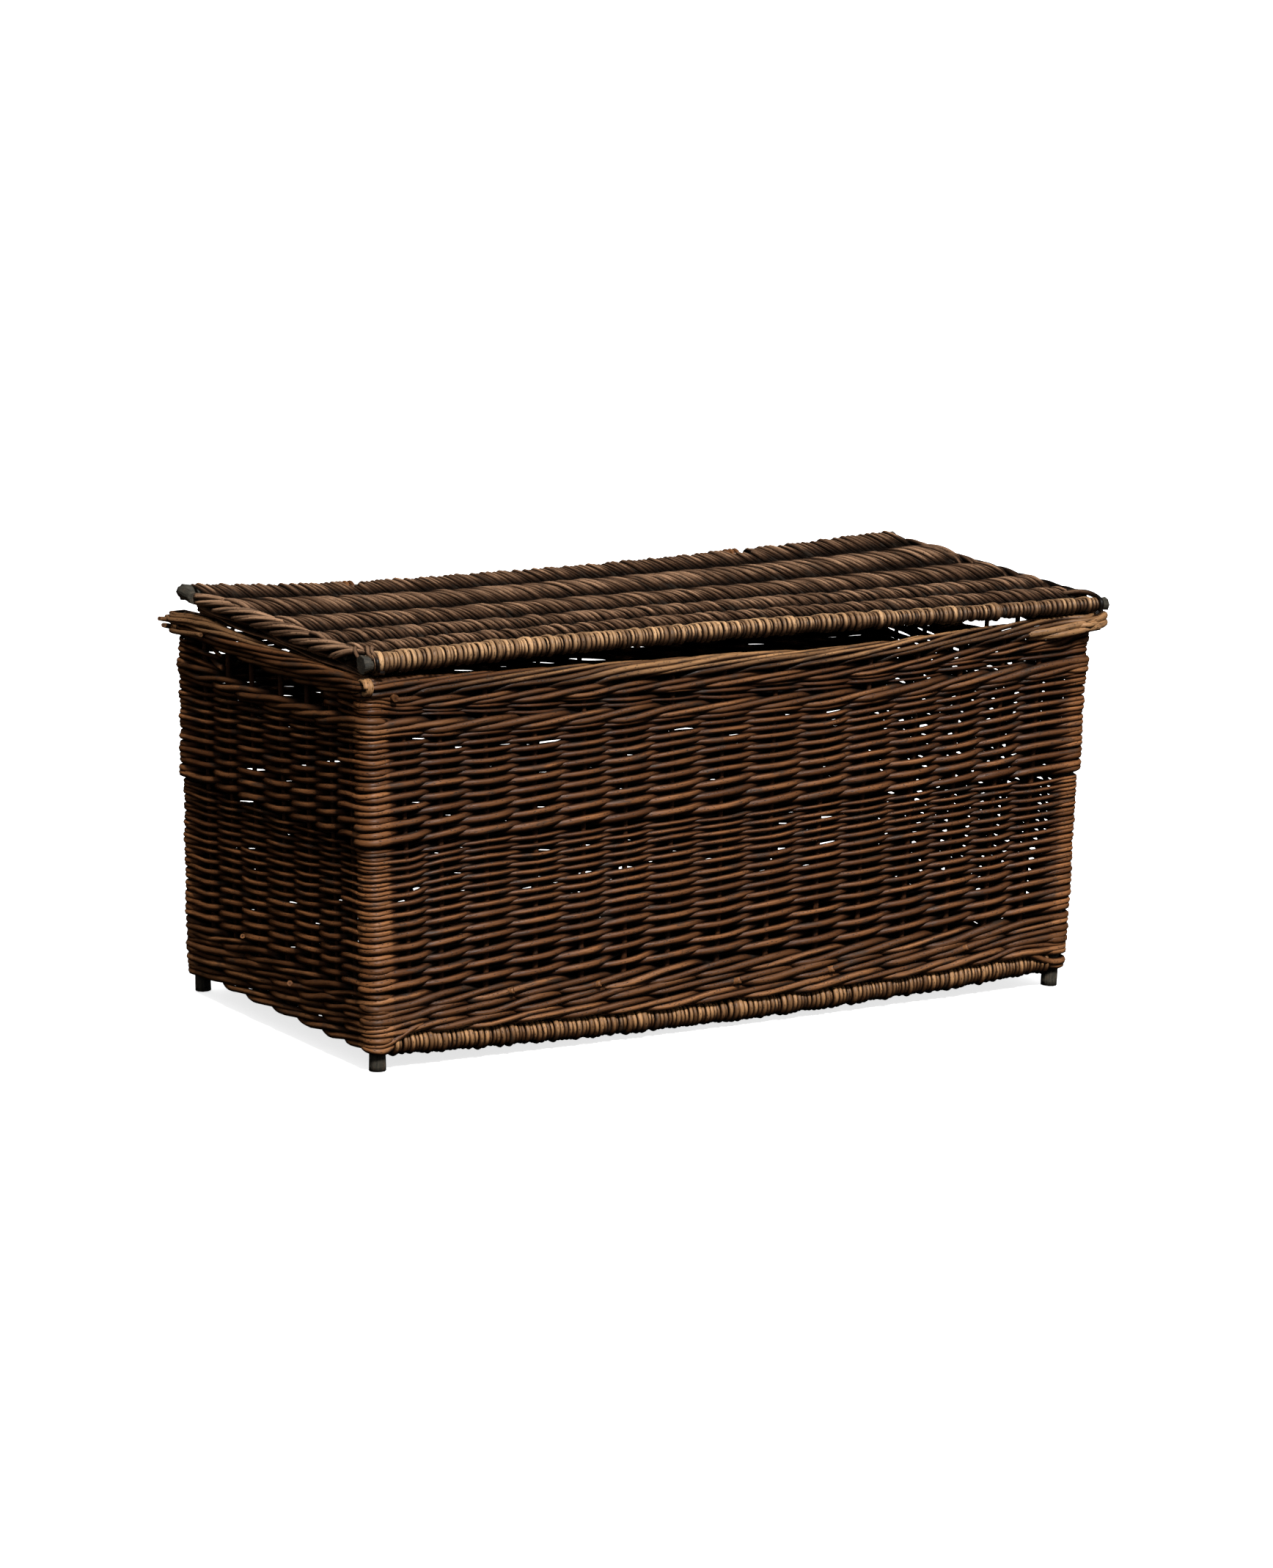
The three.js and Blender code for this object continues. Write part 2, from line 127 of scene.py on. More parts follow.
def lid_warp(p):
    """From the flat lid to the real one: curled up at its back corners, bowed and settled on the rim."""
    x, y, z = p[..., 0], p[..., 1], p[..., 2]
    u = (x - (LID_X0 + LID_X1) / 2) / (LID_LENGTH / 2)
    v = np.clip((LID_BACK_Y - y) / LID_DEPTH, 0, 1)
    curl = np.where(u < 0, LID_CURL_LEFT, LID_CURL) * np.maximum(0, (np.abs(u) - 0.5) / 0.5) ** 1.5
    settled_back = 2.5 * (1 - v) * np.maximum(0, 1 - 4 * u * u)
    settled_front = v * (4.5 * share(u, 0, 0.6) - 2.5 * share(-u, 0, 0.6))
    lifted = z + (1 - v) * curl + v * LID_BOW * (1 - u * u) - (settled_back + settled_front)
    return np.stack([x, y, lifted], -1) + ORIGIN


# ---- how far a place stands out of the weave: 0 deep in it, for painted shade, 1 where hands reach, for wear and painted highlight ----
def unbent(p):
    """A place back in the straight box, and its distance outside the line of the stakes."""
    q = p - ORIGIN
    t = q[..., 2] / RIM_Z
    longer, wider = spread(t)
    x = (q[..., 0] - LEAN_X * t) / longer
    y = (q[..., 1] - LEAN_Y * t) / wider
    dx, dy = np.abs(x) - (HALF_L - STAKE_IN), np.abs(y) - (HALF_W - STAKE_IN)
    outside = np.hypot(np.maximum(dx, 0), np.maximum(dy, 0))
    distance = np.where((dx > 0) & (dy > 0), outside, np.maximum(dx, dy))
    return x, y, q[..., 2], distance - BELLY * 0.6


def from_wall(p):
    """Distance from the line of the stakes. The corners count as further out, so their rods get more of the
    tan, which is wear and painted highlight.
    """
    x, y, z, out = unbent(p)
    corner = (np.abs(x) > HALF_L - 24) & (np.abs(y) > HALF_W - 24)
    return np.abs(out) + 6.0 * corner


def from_border(p):
    """Distance from the middle of the border's rope."""
    x, y, z, out = unbent(p)
    height = z + rim_sag(x) * np.maximum(0, -y / HALF_W) - BORDER_Z
    return np.hypot(out, height)


def from_lid(p):
    """Height over or under the middle of the lid, or the distance behind it."""
    flat = p - ORIGIN
    flat[..., 2] = LID_Z
    behind = p[..., 1] - ORIGIN[1] - LID_BACK_Y
    return np.maximum(np.abs(p[..., 2] - lid_warp(flat)[..., 2]), behind)


# Each depth is a distance, and the values of it at which the painted shade gives way to the lighter colour,
# which is wear and painted highlight, and at which that colour is full.
IN_WALL = (from_wall, -4.0, 9.0)
IN_BORDER = (from_border, 5.5, 11.5)
IN_LID = (from_lid, 4.5, 10.5)


def round_stick(warp, y, z, stick_r):
    """The depth of wraps round a stick that runs along the object."""
    def distance(p):
        flat = p - ORIGIN
        flat[..., 1], flat[..., 2] = y, z
        axis = warp(flat)
        return np.hypot(p[..., 1] - axis[..., 1], p[..., 2] - axis[..., 2])
    return distance, stick_r - 2.0, stick_r + 3.5


def proudness(depth, places, middles, reach, both):
    """How much of the lighter colour a place has, which is wear and painted highlight: it stands out of the
    weave, and faces out of it and up. Less of it is painted shade, deep in the weave, on the sides facing
    into it and on the undersides.
    """
    if not callable(depth[0]):
        return np.full(reach.shape, float(depth[0]))
    field, low, high = depth
    outside = field(places)
    rod_r = np.maximum(reach, 0.1)
    facing = (outside - field(middles)) / rod_r
    upward = (places[..., 2] - middles[..., 2]) / rod_r
    if both:
        upward = np.abs(upward)
    # painted shade on the rods' undersides, darker the more they face down; where both is set, the underside
    # is as light as the top
    underside_shade = np.clip(0.62 + 0.75 * upward, 0.05, 1)
    # painted shade deep in the weave and on the sides that face into it
    standing_out = np.clip((outside - low) / (high - low), 0, 1.5)
    return standing_out * np.clip(0.02 + 1.02 * facing, 0, 1) * underside_shade


# ---- rods as tubes ----
ANY_PHASE = 6.28  # a random start anywhere along a wave
GRAIN_ALONG, GRAIN_ACROSS = 900, 500  # how far apart two rods' places in the grain may be, in mm
OVAL = 0.06
# the cut ends' share of the lighter colour: wear and painted highlight
CUT_END_LIGHT_AND_WEAR = 0.3


class Bundle:
    """Rods that make up one piece. A rod is a line of points with a radius at each."""

    def __init__(self, warp, depth, sides=8, both=False):
        self.warp, self.depth, self.sides = warp, depth, sides
        self.both = both  # no painted shade on its underside: it is as light as its top
        self.lines, self.radii, self.tones = [], [], []

    def rod(self, line, radius, tone=None):
        line = np.asarray(line, float)
        self.lines.append(line)
        self.radii.append(np.broadcast_to(np.asarray(radius, float), (len(line),)).copy())
        self.tones.append(rng.random() if tone is None else tone)

    def padded(self):
        """The rods made equally long: points, radii, which points are real, and how many of them."""
        counts = np.array([len(line) for line in self.lines])
        steps = np.arange(counts.max())
        pick = np.minimum(steps[None, :], counts[:, None] - 1)
        points = np.stack([line[pick[i]] for i, line in enumerate(self.lines)])
        radii = np.stack([r[pick[i]] for i, r in enumerate(self.radii)])
        return self.warp(points), radii, steps[None, :] < counts[:, None], counts

    def mesh(self, name):
        """All the rods as one mesh, with each point's place in the grain, its rod's tone, and its share of
        the lighter colour, which is wear and painted highlight, with painted shade where it is low.
        """
        points, radii, real, counts = self.padded()
        rods = len(counts)
        side, up = moving_frames(points, counts)
        gaps = np.linalg.norm(np.diff(points, axis=1, prepend=points[:, :1]), axis=2)
        along = np.cumsum(gaps, axis=1) + rng.random((rods, 1)) * GRAIN_ALONG
        m = self.sides
        angle = np.arange(m) * 2 * np.pi / m
        oval = 1 + OVAL * np.cos(2 * angle[None, None, :] + rng.random((rods, 1, 1)) * 6)
        reach = (radii * lumps(along, rods))[..., None] * oval
        cos, sin = np.cos(angle)[None, None, :, None], np.sin(angle)[None, None, :, None]
        rings = points[:, :, None] + reach[..., None] * (cos * side[:, :, None] + sin * up[:, :, None])
        far = np.broadcast_to(along[..., None], reach.shape)
        grain = np.stack([reach * np.cos(angle), reach * np.sin(angle), far], -1)
        grain[..., 0] += rng.random((rods, 1, 1)) * GRAIN_ACROSS
        tone = np.broadcast_to(np.array(self.tones)[:, None, None], reach.shape)
        ends = end_middles(points, grain, tone, counts)
        places = np.concatenate([rings[real].reshape(-1, 3), ends[0]])
        mesh = raw_mesh(name, places * MM, *tube_faces(real, counts, m))
        put(mesh, "grain", np.concatenate([grain[real].reshape(-1, 3), ends[1]]))
        put(mesh, "tone", np.concatenate([tone[real].ravel(), ends[2]]))
        middles = np.broadcast_to(points[:, :, None], rings.shape)
        proud = proudness(self.depth, rings, middles, reach, self.both)
        put(mesh, "proud", np.concatenate([proud[real].ravel(), np.full(2 * rods, CUT_END_LIGHT_AND_WEAR)]))
        return mesh


def lumps(along, rods):
    """A slow swell and a few knots along each rod, as a factor on its radius."""
    phase = rng.random((3, rods, 1)) * ANY_PHASE
    swell = 0.035 * np.sin(along / 23 + phase[0]) + 0.03 * np.sin(along / 9.5 + phase[1])
    knot = np.clip(np.sin(along / 31 + phase[2]) - 0.96, 0, 1) / 0.04
    return 1 + swell + 0.10 * knot


def unit(v):
    return v / np.maximum(np.linalg.norm(v, axis=-1, keepdims=True), 1e-9)


def moving_frames(points, counts):
    """Two side vectors along each line, turned as little as possible from point to point."""
    rods, longest, _ = points.shape
    step, last = np.arange(longest)[None, :], counts[:, None] - 1
    ahead = np.minimum(step + 1, last)
    behind = np.maximum(np.minimum(step, last) - 1, 0)
    row = np.arange(rods)[:, None]
    tangents = unit(points[row, ahead] - points[row, behind])
    start = tangents[:, 0]
    flat = np.where(np.abs(start[:, 2:3]) > 0.8, [[0.0, 1.0, 0.0]], [[0.0, 0.0, 1.0]])
    side = np.zeros_like(points)
    side[:, 0] = unit(np.cross(start, flat))
    for i in range(1, longest):
        t = tangents[:, i]
        kept = side[:, i - 1] - t * np.sum(side[:, i - 1] * t, axis=1, keepdims=True)
        side[:, i] = unit(kept)
    return side, np.cross(tangents, side)


def end_middles(points, grain, tone, counts):
    """The middle of each rod's two cut ends."""
    rows = np.repeat(np.arange(len(counts)), 2)
    order = np.stack([np.zeros_like(counts), counts - 1], -1).ravel()
    return points[rows, order], grain[rows, order].mean(axis=1), tone[rows, order, 0]


def tube_faces(real, counts, m):
    """Four-sided faces along every rod, with m to a ring, and three-sided ones that close its ends."""
    starts = np.concatenate([[0], np.cumsum(counts)[:-1]])
    rod, step = np.nonzero(real[:, 1:])
    a = (starts[rod] + step) * m
    j = np.arange(m)
    k = (j + 1) % m
    b = a + m
    quads = np.stack([a[:, None] + j, a[:, None] + k, b[:, None] + k, b[:, None] + j], -1).reshape(-1, 4)
    first = starts * m
    last = (starts + counts - 1) * m
    centre = counts.sum() * m + 2 * np.arange(len(counts))
    shape = (len(counts), m)
    head = np.stack([np.broadcast_to(centre[:, None], shape), first[:, None] + k, first[:, None] + j], -1)
    tail = np.stack([np.broadcast_to(centre[:, None] + 1, shape), last[:, None] + j, last[:, None] + k], -1)
    return quads, np.concatenate([head.reshape(-1, 3), tail.reshape(-1, 3)])


def raw_mesh(name, vertices, quads, triangles):
    mesh = bpy.data.meshes.new(name)
    mesh.vertices.add(len(vertices))
    mesh.vertices.foreach_set("co", vertices.astype(np.float32).ravel())
    corners = np.concatenate([quads.ravel(), triangles.ravel()]).astype(np.int32)
    mesh.loops.add(len(corners))
    mesh.loops.foreach_set("vertex_index", corners)
    starts = np.concatenate([np.arange(len(quads)) * 4, len(quads) * 4 + np.arange(len(triangles)) * 3])
    mesh.polygons.add(len(starts))
    mesh.polygons.foreach_set("loop_start", starts.astype(np.int32))
    smooth = np.arange(len(starts)) < len(quads)
    mesh.update(calc_edges=True)
    mesh.polygons.foreach_set("use_smooth", smooth)
    mesh.update()
    return mesh


def put(mesh, name, values):
    kind = "FLOAT_VECTOR" if values.ndim == 2 else "FLOAT"
    attribute = mesh.attributes.new(name, kind, "POINT")
    attribute.data.foreach_set("vector" if values.ndim == 2 else "value", values.astype(np.float32).ravel())


def placed(name, data):
    made = bpy.data.objects.new(name, data)
    bpy.context.scene.collection.objects.link(made)
    return made


def piece(name, bundle, body, material, nodes=()):
    """A bundle as one named piece: it rides on a body and stands in for its CAD nodes."""
    made = placed(name, bundle.mesh(name))
    made.data.materials.append(material)
    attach(made, body)
    if nodes:
        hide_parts(*nodes)
    return made


# ---- the line of the stakes, as one loop measured along itself from the front left corner ----
SIDES = [2 * (HALF_L - POST_IN), 2 * (HALF_W - POST_IN)] * 2
ARC = math.pi / 2 * CORNER_R
LOOP = sum(SIDES) + 4 * ARC
SIDE_START = [0.0]
for length in SIDES[:3]:
    SIDE_START.append(SIDE_START[-1] + length + ARC)
SIDE_MIDDLE = [start + length / 2 for start, length in zip(SIDE_START, SIDES)]


def wall_point(s):
    """Places and outward directions on the loop."""
    s = np.mod(s, LOOP)
    place, out = np.zeros((2, *s.shape, 2))
    for k in range(4):
        turn = k * math.pi / 2
        along = np.array([math.cos(turn), math.sin(turn)])
        outward = np.array([math.sin(turn), -math.cos(turn)])
        far = (HALF_W if k % 2 == 0 else HALF_L) - STAKE_IN
        half = SIDES[k] / 2
        u = s - SIDE_START[k] - half
        on = (u >= -half) & (u < half)
        belly = BELLY * (1 - (u[on] / half) ** 2)
        place[on] = along * u[on][:, None] + outward * (far + belly)[:, None]
        out[on] = outward
        bend = (u >= half) & (u < half + ARC)
        angle = turn - math.pi / 2 + (u[bend] - half) / CORNER_R
        ray = np.stack([np.cos(angle), np.sin(angle)], -1)
        place[bend] = along * half + outward * (far - CORNER_R) + CORNER_R * ray
        out[bend] = ray
    return place, out


def near(s, centre, width):
    """1 at a station on the loop, falling to 0 over about twice the width."""
    away = np.abs(np.mod(s - centre + LOOP / 2, LOOP) - LOOP / 2)
    return np.exp(-((away / width) ** 2))


def corner_rise(s, z):
    """The upper rows ride up at the front left corner, and the rim does at the back left one."""
    front_left = 8 * near(s, -ARC / 2, 120) * share(z, 240, 350) * (1 - share(z, 366, 396))
    width = np.where(np.mod(s, LOOP) < SIDE_START[3], 28, 110)
    back_left = 10 * near(s, SIDE_START[3], width) * share(z, 330, 410)
    return front_left + back_left


def on_wall(s, out, z):
    """Points of a line at stations on the loop, at a distance outside it and at a height."""
    s, out, z = np.broadcast_arrays(s, out, z)
    place, normal = wall_point(s)
    z = z + corner_rise(s, z)
    return np.concatenate([place + normal * out[..., None], z[..., None]], -1)


def stake_stations():
    front = [SIDE_MIDDLE[0] + x for x in FRONT_STAKES]
    right = [SIDE_MIDDLE[1] + y for y in END_STAKES]
    back = [SIDE_MIDDLE[2] - x for x in reversed(BACK_STAKES)]
    left = [SIDE_MIDDLE[3] - y for y in reversed(END_STAKES)]
    return np.array(front + right + back + left)


STAKES = stake_stations()
COUNT = len(STAKES)
SIDE_STAKES = {"front": (0, 15), "right": (15, 22), "back": (22, 37), "left": (37, 44)}
CORNER_ARCS = [SIDE_START[k] + SIDES[k] for k in range(4)]
TURNS = 3
STAKES_ALL = np.concatenate([STAKES + LOOP * t for t in range(TURNS)])


def knots_between(first, last):
    """Stations of the stakes from first to last and of the corner bends between them, with each one's stake
    number, or -1 for a corner."""
    stations = [(STAKES_ALL[k], k) for k in range(first, last + 1)]
    low, high = stations[0][0], stations[-1][0]
    for turn in range(TURNS):
        for arc in CORNER_ARCS:
            for s in (arc, arc + ARC):
                if low < s + LOOP * turn < high:
                    stations.append((s + LOOP * turn, -1))
    stations.sort()
    return np.array([s for s, _ in stations]), np.array([k for _, k in stations])


def stake_number(s):
    """How far round the loop a station is, counted in stakes."""
    return np.interp(s, STAKES_ALL, np.arange(len(STAKES_ALL)))


def eased(knots, values, s, stay=1.0):
    """Smooth between knots. A stay above 1 keeps the line near the higher of two knots for longer."""
    i = np.clip(np.searchsorted(knots, s, side="right") - 1, 0, len(knots) - 2)
    u = np.clip((s - knots[i]) / (knots[i + 1] - knots[i]), 0, 1)
    w = half_wave(u)
    w = np.where(values[i + 1] < values[i], w ** stay, 1 - (1 - w) ** stay)
    return values[i] + (values[i + 1] - values[i]) * w


def samples(knots, per):
    """Stations from the first knot to the last, with as many to each gap."""
    parts = [np.linspace(a, b, per, endpoint=False) for a, b in zip(knots[:-1], knots[1:])]
    return np.append(np.concatenate(parts), knots[-1])


POST_OUT = POST_R - CORNER_R
SWAY = rng.random((3, COUNT)) * ANY_PHASE


def sway(number, z):
    """How the rows ride up and down beside each stake."""
    k = np.mod(number, COUNT)
    low = np.floor(k).astype(int) % COUNT
    high = (low + 1) % COUNT
    f = k - np.floor(k)
    wave = [0.9 * np.sin(z / 47 + SWAY[0][i]) + 0.8 * np.sin(z / 19 + SWAY[1][i]) for i in (low, high)]
    return wave[0] * (1 - f) + wave[1] * f


def reach_out(kind, front, radius):
    """How far out a rod's middle is at each knot: outside every corner post, and before or behind a stake."""
    before = STAKE_R + radius * 0.93
    out = np.where(front, before, -before)
    return np.where(kind < 0, POST_OUT + radius, np.where(front, out, 0.58 * out))


def rand_band(bundle, z0, z1, rows, butt, tip):
    """French randing: one tapered rod starts at each stake and climbs a row at each stake that it passes."""
    step = np.arange(rows + 1)
    width = butt + (tip - butt) * (step / rows) ** 0.8
    heights = np.concatenate([[0], np.cumsum(width[:-1])])
    heights *= (z1 - z0) / heights[-1]
    for j in range(COUNT):
        knots, kind = knots_between(j, j + rows)
        number = stake_number(knots) - j
        girth = rng.uniform(1.0, 1.14)
        radius = np.interp(number, step, width) / 2 * girth
        front = np.mod(np.where(kind < 0, 1, kind - j), 2) == 1
        out = reach_out(kind, front, radius) + rng.normal(0, 0.45, len(knots))
        s = samples(knots, 7)
        m = stake_number(s) - j
        height = z0 + np.interp(m + 0.5 + 0.3 * np.sin(np.pi * m) / np.pi, step, heights)
        wobble = eased(knots, rng.normal(0, 0.5, len(knots)), s)
        z = height + wobble + sway(m + j, height)
        bundle.rod(on_wall(s, eased(knots, out, s, 1.3), z), np.interp(m, step, width) / 2 * girth * slack(s))


def slack(s):
    """The weave is a little more open towards the right of the front, and closer on the back."""
    return 1.10 - 0.07 * near(s, 700, 230) + 0.10 * near(s, SIDE_MIDDLE[2], 450)


def wale_round(bundle, low, high, radius, start, climb=0.31, span=COUNT):
    """A round of three rods, each before two stakes and behind the third, its strokes climbing as they go."""
    for p in range(3):
        first = start + p
        knots, kind = knots_between(first, first + span)
        s = samples(knots, 7)
        phase = np.mod(stake_number(s) - first, 3)
        rising = -np.cos(np.pi * (phase - 0.5) / 2)
        falling = np.cos(np.pi * (phase - 2.5))
        inside = np.where(phase > 2.5, falling, -np.sin(np.pi * phase))
        climbing = np.where((phase >= 0.5) & (phase <= 2.5), rising, inside)
        bottom, top = low(s), high(s)
        z = (bottom + top) / 2 + climbing * climb * (top - bottom)
        girth = radius * rng.uniform(0.92, 1.1)
        behind = (np.mod(kind - first, 3) == 0) & (kind >= 0)
        behind[[0, -1]] = True
        out = reach_out(kind, ~behind, girth) + rng.normal(0, 0.5, len(knots))
        z += eased(knots, rng.normal(0, 0.7, len(knots)), s) + 0.6 * sway(stake_number(s), z)
        taper = 1 + 0.12 * np.sin(s / 170 + rng.random() * 6)
        bundle.rod(on_wall(s, eased(knots, out, s), z), girth * taper)


def level(z):
    return lambda s: np.full(np.shape(s), z)


def end_share(s, reach):
    """1 on the end walls and 0 along the long ones, changing over the given length beside each corner."""
    s = np.mod(s, LOOP)
    at_end = share(-s, -reach, 0)
    for k in (1, 3):
        from_start = s - (SIDE_START[k] - ARC)
        to_end = SIDE_START[k] + SIDES[k] + ARC - s
        inside = np.minimum(from_start, to_end)
        at_end = np.maximum(at_end, share(inside, -reach, 0))
    return soft_ended(at_end)


WALE_ROUNDS = 3


def wale_level(number):
    """The height between two of the bottom wale's rounds, as a function of the station."""
    def height(s):
        foot = BASE_Z - 4 * end_share(s, 60)
        return foot + (WALE_Z - foot) * number / WALE_ROUNDS
    return height


# ---- materials ----
def node(tree, kind, **inputs):
    made = tree.nodes.new(kind)
    for key, value in inputs.items():
        if key in made.inputs:
            made.inputs[key].default_value = value
        else:
            setattr(made, key, value)
    return made


def feed(tree, socket, value):
    """Sets a socket to a number or a colour, or links an output to it."""
    if isinstance(value, tuple):
        socket.default_value = (*value, 1.0)
    elif isinstance(value, (int, float)):
        socket.default_value = value
    else:
        tree.links.new(value, socket)


def attribute(tree, name, output="Fac"):
    return node(tree, "ShaderNodeAttribute", attribute_name=name).outputs[output]


def scaled(tree, source, across, along):
    """The grain's place, so that a pattern on it is so many millimetres across the rod and along it."""
    mapping = node(tree, "ShaderNodeMapping", Scale=(1 / across, 1 / across, 1 / along))
    tree.links.new(source, mapping.inputs["Vector"])
    return mapping.outputs["Vector"]


def noise(tree, vector, detail, roughness):
    made = node(tree, "ShaderNodeTexNoise", Scale=1.0, Detail=detail, Roughness=roughness)
    tree.links.new(vector, made.inputs["Vector"])
    return made.outputs["Fac"]


def ramped(tree, value, low, high, side="From"):
    """From the range low to high to the range 0 to 1, or back from it where the side is To."""
    made = tree.nodes.new("ShaderNodeMapRange")
    made.inputs[side + " Min"].default_value = low
    made.inputs[side + " Max"].default_value = high
    tree.links.new(value, made.inputs["Value"])
    return made.outputs["Result"]


def math_node(tree, operation, a, b):
    made = node(tree, "ShaderNodeMath", operation=operation)
    feed(tree, made.inputs[0], a)
    feed(tree, made.inputs[1], b)
    return made.outputs[0]


def times(tree, a, b):
    return math_node(tree, "MULTIPLY", a, b)


def mixed(tree, amount, a, b):
    made = node(tree, "ShaderNodeMix", data_type="RGBA")
    for number, value in ((0, amount), (6, a), (7, b)):
        feed(tree, made.inputs[number], value)
    return made.outputs[2]


def cells(tree, vector):
    """The distance from the middles of cells scattered over the surface."""
    made = node(tree, "ShaderNodeTexVoronoi", Scale=1.0)
    tree.links.new(vector, made.inputs["Vector"])
    return made.outputs["Distance"]


def bumpy(tree, shader, height, strength, distance):
    bump = node(tree, "ShaderNodeBump", Strength=strength, Distance=distance)
    tree.links.new(height, bump.inputs["Height"])
    tree.links.new(bump.outputs["Normal"], shader.inputs["Normal"])


def new_material(name):
    material = bpy.data.materials.new(name)
    material.use_nodes = True
    return material, material.node_tree, material.node_tree.nodes["Principled BSDF"]


BARK_PATCH = (0.035, 0.026, 0.019)
BARK_PATCH_SHARE = 0.5
PIT = (0.008, 0.005, 0.004)
SMOOTHEST, ROUGHEST = 0.32, 0.58


def willow(name, deep, brown, tan):
    """Aged buff willow: painted shade, near black, deep in the crevices and on the undersides, brown on the
    rods' sides, and tan where they stand out and face up, which is wear and painted highlight, with streaks
    along the rod, patches of bark and small dark pits."""
    material, tree, shader = new_material(name)
    grain = attribute(tree, "grain", "Vector")
    tone = attribute(tree, "tone")
    proud = attribute(tree, "proud")
    streaks = noise(tree, scaled(tree, grain, 1.1, 26), 4.0, 0.6)
    patches = noise(tree, scaled(tree, grain, 9, 34), 3.0, 0.6)
    fine = noise(tree, scaled(tree, grain, 0.5, 9), 2.0, 0.5)
    pit = ramped(tree, cells(tree, scaled(tree, grain, 2.3, 4.6)), 0.30, 0.12)
    uneven = times(tree, math_node(tree, "SUBTRACT", patches, 0.5), 0.5)
    # worn is wear and painted light together: low values get the deep colour as painted shade, high ones the
    # tan as wear and painted highlight
    worn = math_node(tree, "ADD", proud, uneven)
    body = mixed(tree, ramped(tree, worn, 0.06, 0.56), deep, brown)
    lift = times(tree, ramped(tree, worn, 0.42, 0.95), ramped(tree, tone, 0.2, 1.2, "To"))
    lift = times(tree, lift, ramped(tree, ramped(tree, streaks, 0.33, 0.66), 0.45, 1.1, "To"))
    body = mixed(tree, lift, body, tan)
    patch = times(tree, ramped(tree, patches, 0.42, 0.34), BARK_PATCH_SHARE)
    body = mixed(tree, patch, body, BARK_PATCH)
    body = mixed(tree, times(tree, pit, 0.8), body, PIT)
    tree.links.new(body, shader.inputs["Base Color"])
    tree.links.new(ramped(tree, fine, SMOOTHEST, ROUGHEST, "To"), shader.inputs["Roughness"])
    shader.inputs["Specular IOR Level"].default_value = 0.24
    height = math_node(tree, "ADD", fine, times(tree, pit, -0.9))
    height = math_node(tree, "ADD", height, times(tree, streaks, 0.8))
    bumpy(tree, shader, height, 0.5, 0.0005)
    return material


def bark(name):
    """Dark bark of the posts and sticks, ridged along the stick, with pale lenticels and worn patches."""
    material, tree, shader = new_material(name)
    grain = attribute(tree, "grain", "Vector")
    ridges = noise(tree, scaled(tree, grain, 1.6, 22), 5.0, 0.65)
    blotches = noise(tree, scaled(tree, grain, 7, 12), 3.0, 0.6)
    dot = ramped(tree, cells(tree, scaled(tree, grain, 3.2, 2.4)), 0.22, 0.1)
    body = mixed(tree, ramped(tree, ridges, 0.35, 0.65), (0.014, 0.012, 0.008), (0.055, 0.046, 0.030))
    body = mixed(tree, ramped(tree, blotches, 0.55, 0.72), body, (0.09, 0.06, 0.036))
    body = mixed(tree, times(tree, dot, 0.5), body, (0.12, 0.10, 0.07))
    tree.links.new(body, shader.inputs["Base Color"])
    tree.links.new(ramped(tree, ridges, 0.55, 0.85, "To"), shader.inputs["Roughness"])
    bumpy(tree, shader, ridges, 0.8, 0.001)
    return material


# Each willow's colours: deep in the weave, which is painted shade; on the rods' sides; and worn, which is
# wear and painted highlight.
WEAVE = willow("aged_willow", (0.004, 0.002, 0.001), (0.060, 0.020, 0.006), (0.32, 0.130, 0.045))
WALE = willow("thick_willow", (0.004, 0.002, 0.001), (0.062, 0.022, 0.007), (0.31, 0.132, 0.048))
BORDER = willow("rim_willow", (0.005, 0.002, 0.001), (0.062, 0.025, 0.009), (0.45, 0.235, 0.100))
STAKE = willow("stake_willow", (0.008, 0.004, 0.002), (0.07, 0.024, 0.008), (0.24, 0.095, 0.034))
LID = willow("lid_willow", (0.004, 0.002, 0.001), (0.058, 0.028, 0.014), (0.40, 0.225, 0.125))
# The lid's front edge is a lighter copy of the lid's willow: painted light on the edge that faces the front
# light.
EDGE = willow("lid_edge_willow", (0.005, 0.002, 0.001), (0.10, 0.048, 0.022), (0.58, 0.34, 0.165))
BARK = bark("bark")


# ---- the basket ----
def straight(ends, count, wander=0.0):
    """A line between two ends, wandering a little."""
    a, b = np.asarray(ends[0], float), np.asarray(ends[1], float)
    t = np.linspace(0, 1, count)
    phase = rng.random(6) * ANY_PHASE
    waves = [np.sin(t * 7 + phase[i]) + 0.5 * np.sin(t * 17 + phase[i + 3]) for i in range(3)]
    return a + (b - a) * t[:, None] + wander * np.stack(waves, -1) * np.sqrt(np.sin(np.pi * t))[:, None]


def posts():
    corners = {"front_left": (-1, -1), "front_right": (1, -1), "back_right": (1, 1), "back_left": (-1, 1)}
    for name, (sx, sy) in corners.items():
        bundle = Bundle(basket_warp, (0.5,), 12)
        x, y = sx * (HALF_L - POST_IN), sy * (HALF_W - POST_IN)
        line = straight([(x, y, 0), (x, y, RAIL_Z + 6)], 60, 0.4)
        line[0, 2] = 0.6
        bundle.rod(line, POST_R * np.linspace(1.02, 0.95, 60))
        piece("post_" + name + "_stick", bundle, "basket", BARK, ["post_" + name])


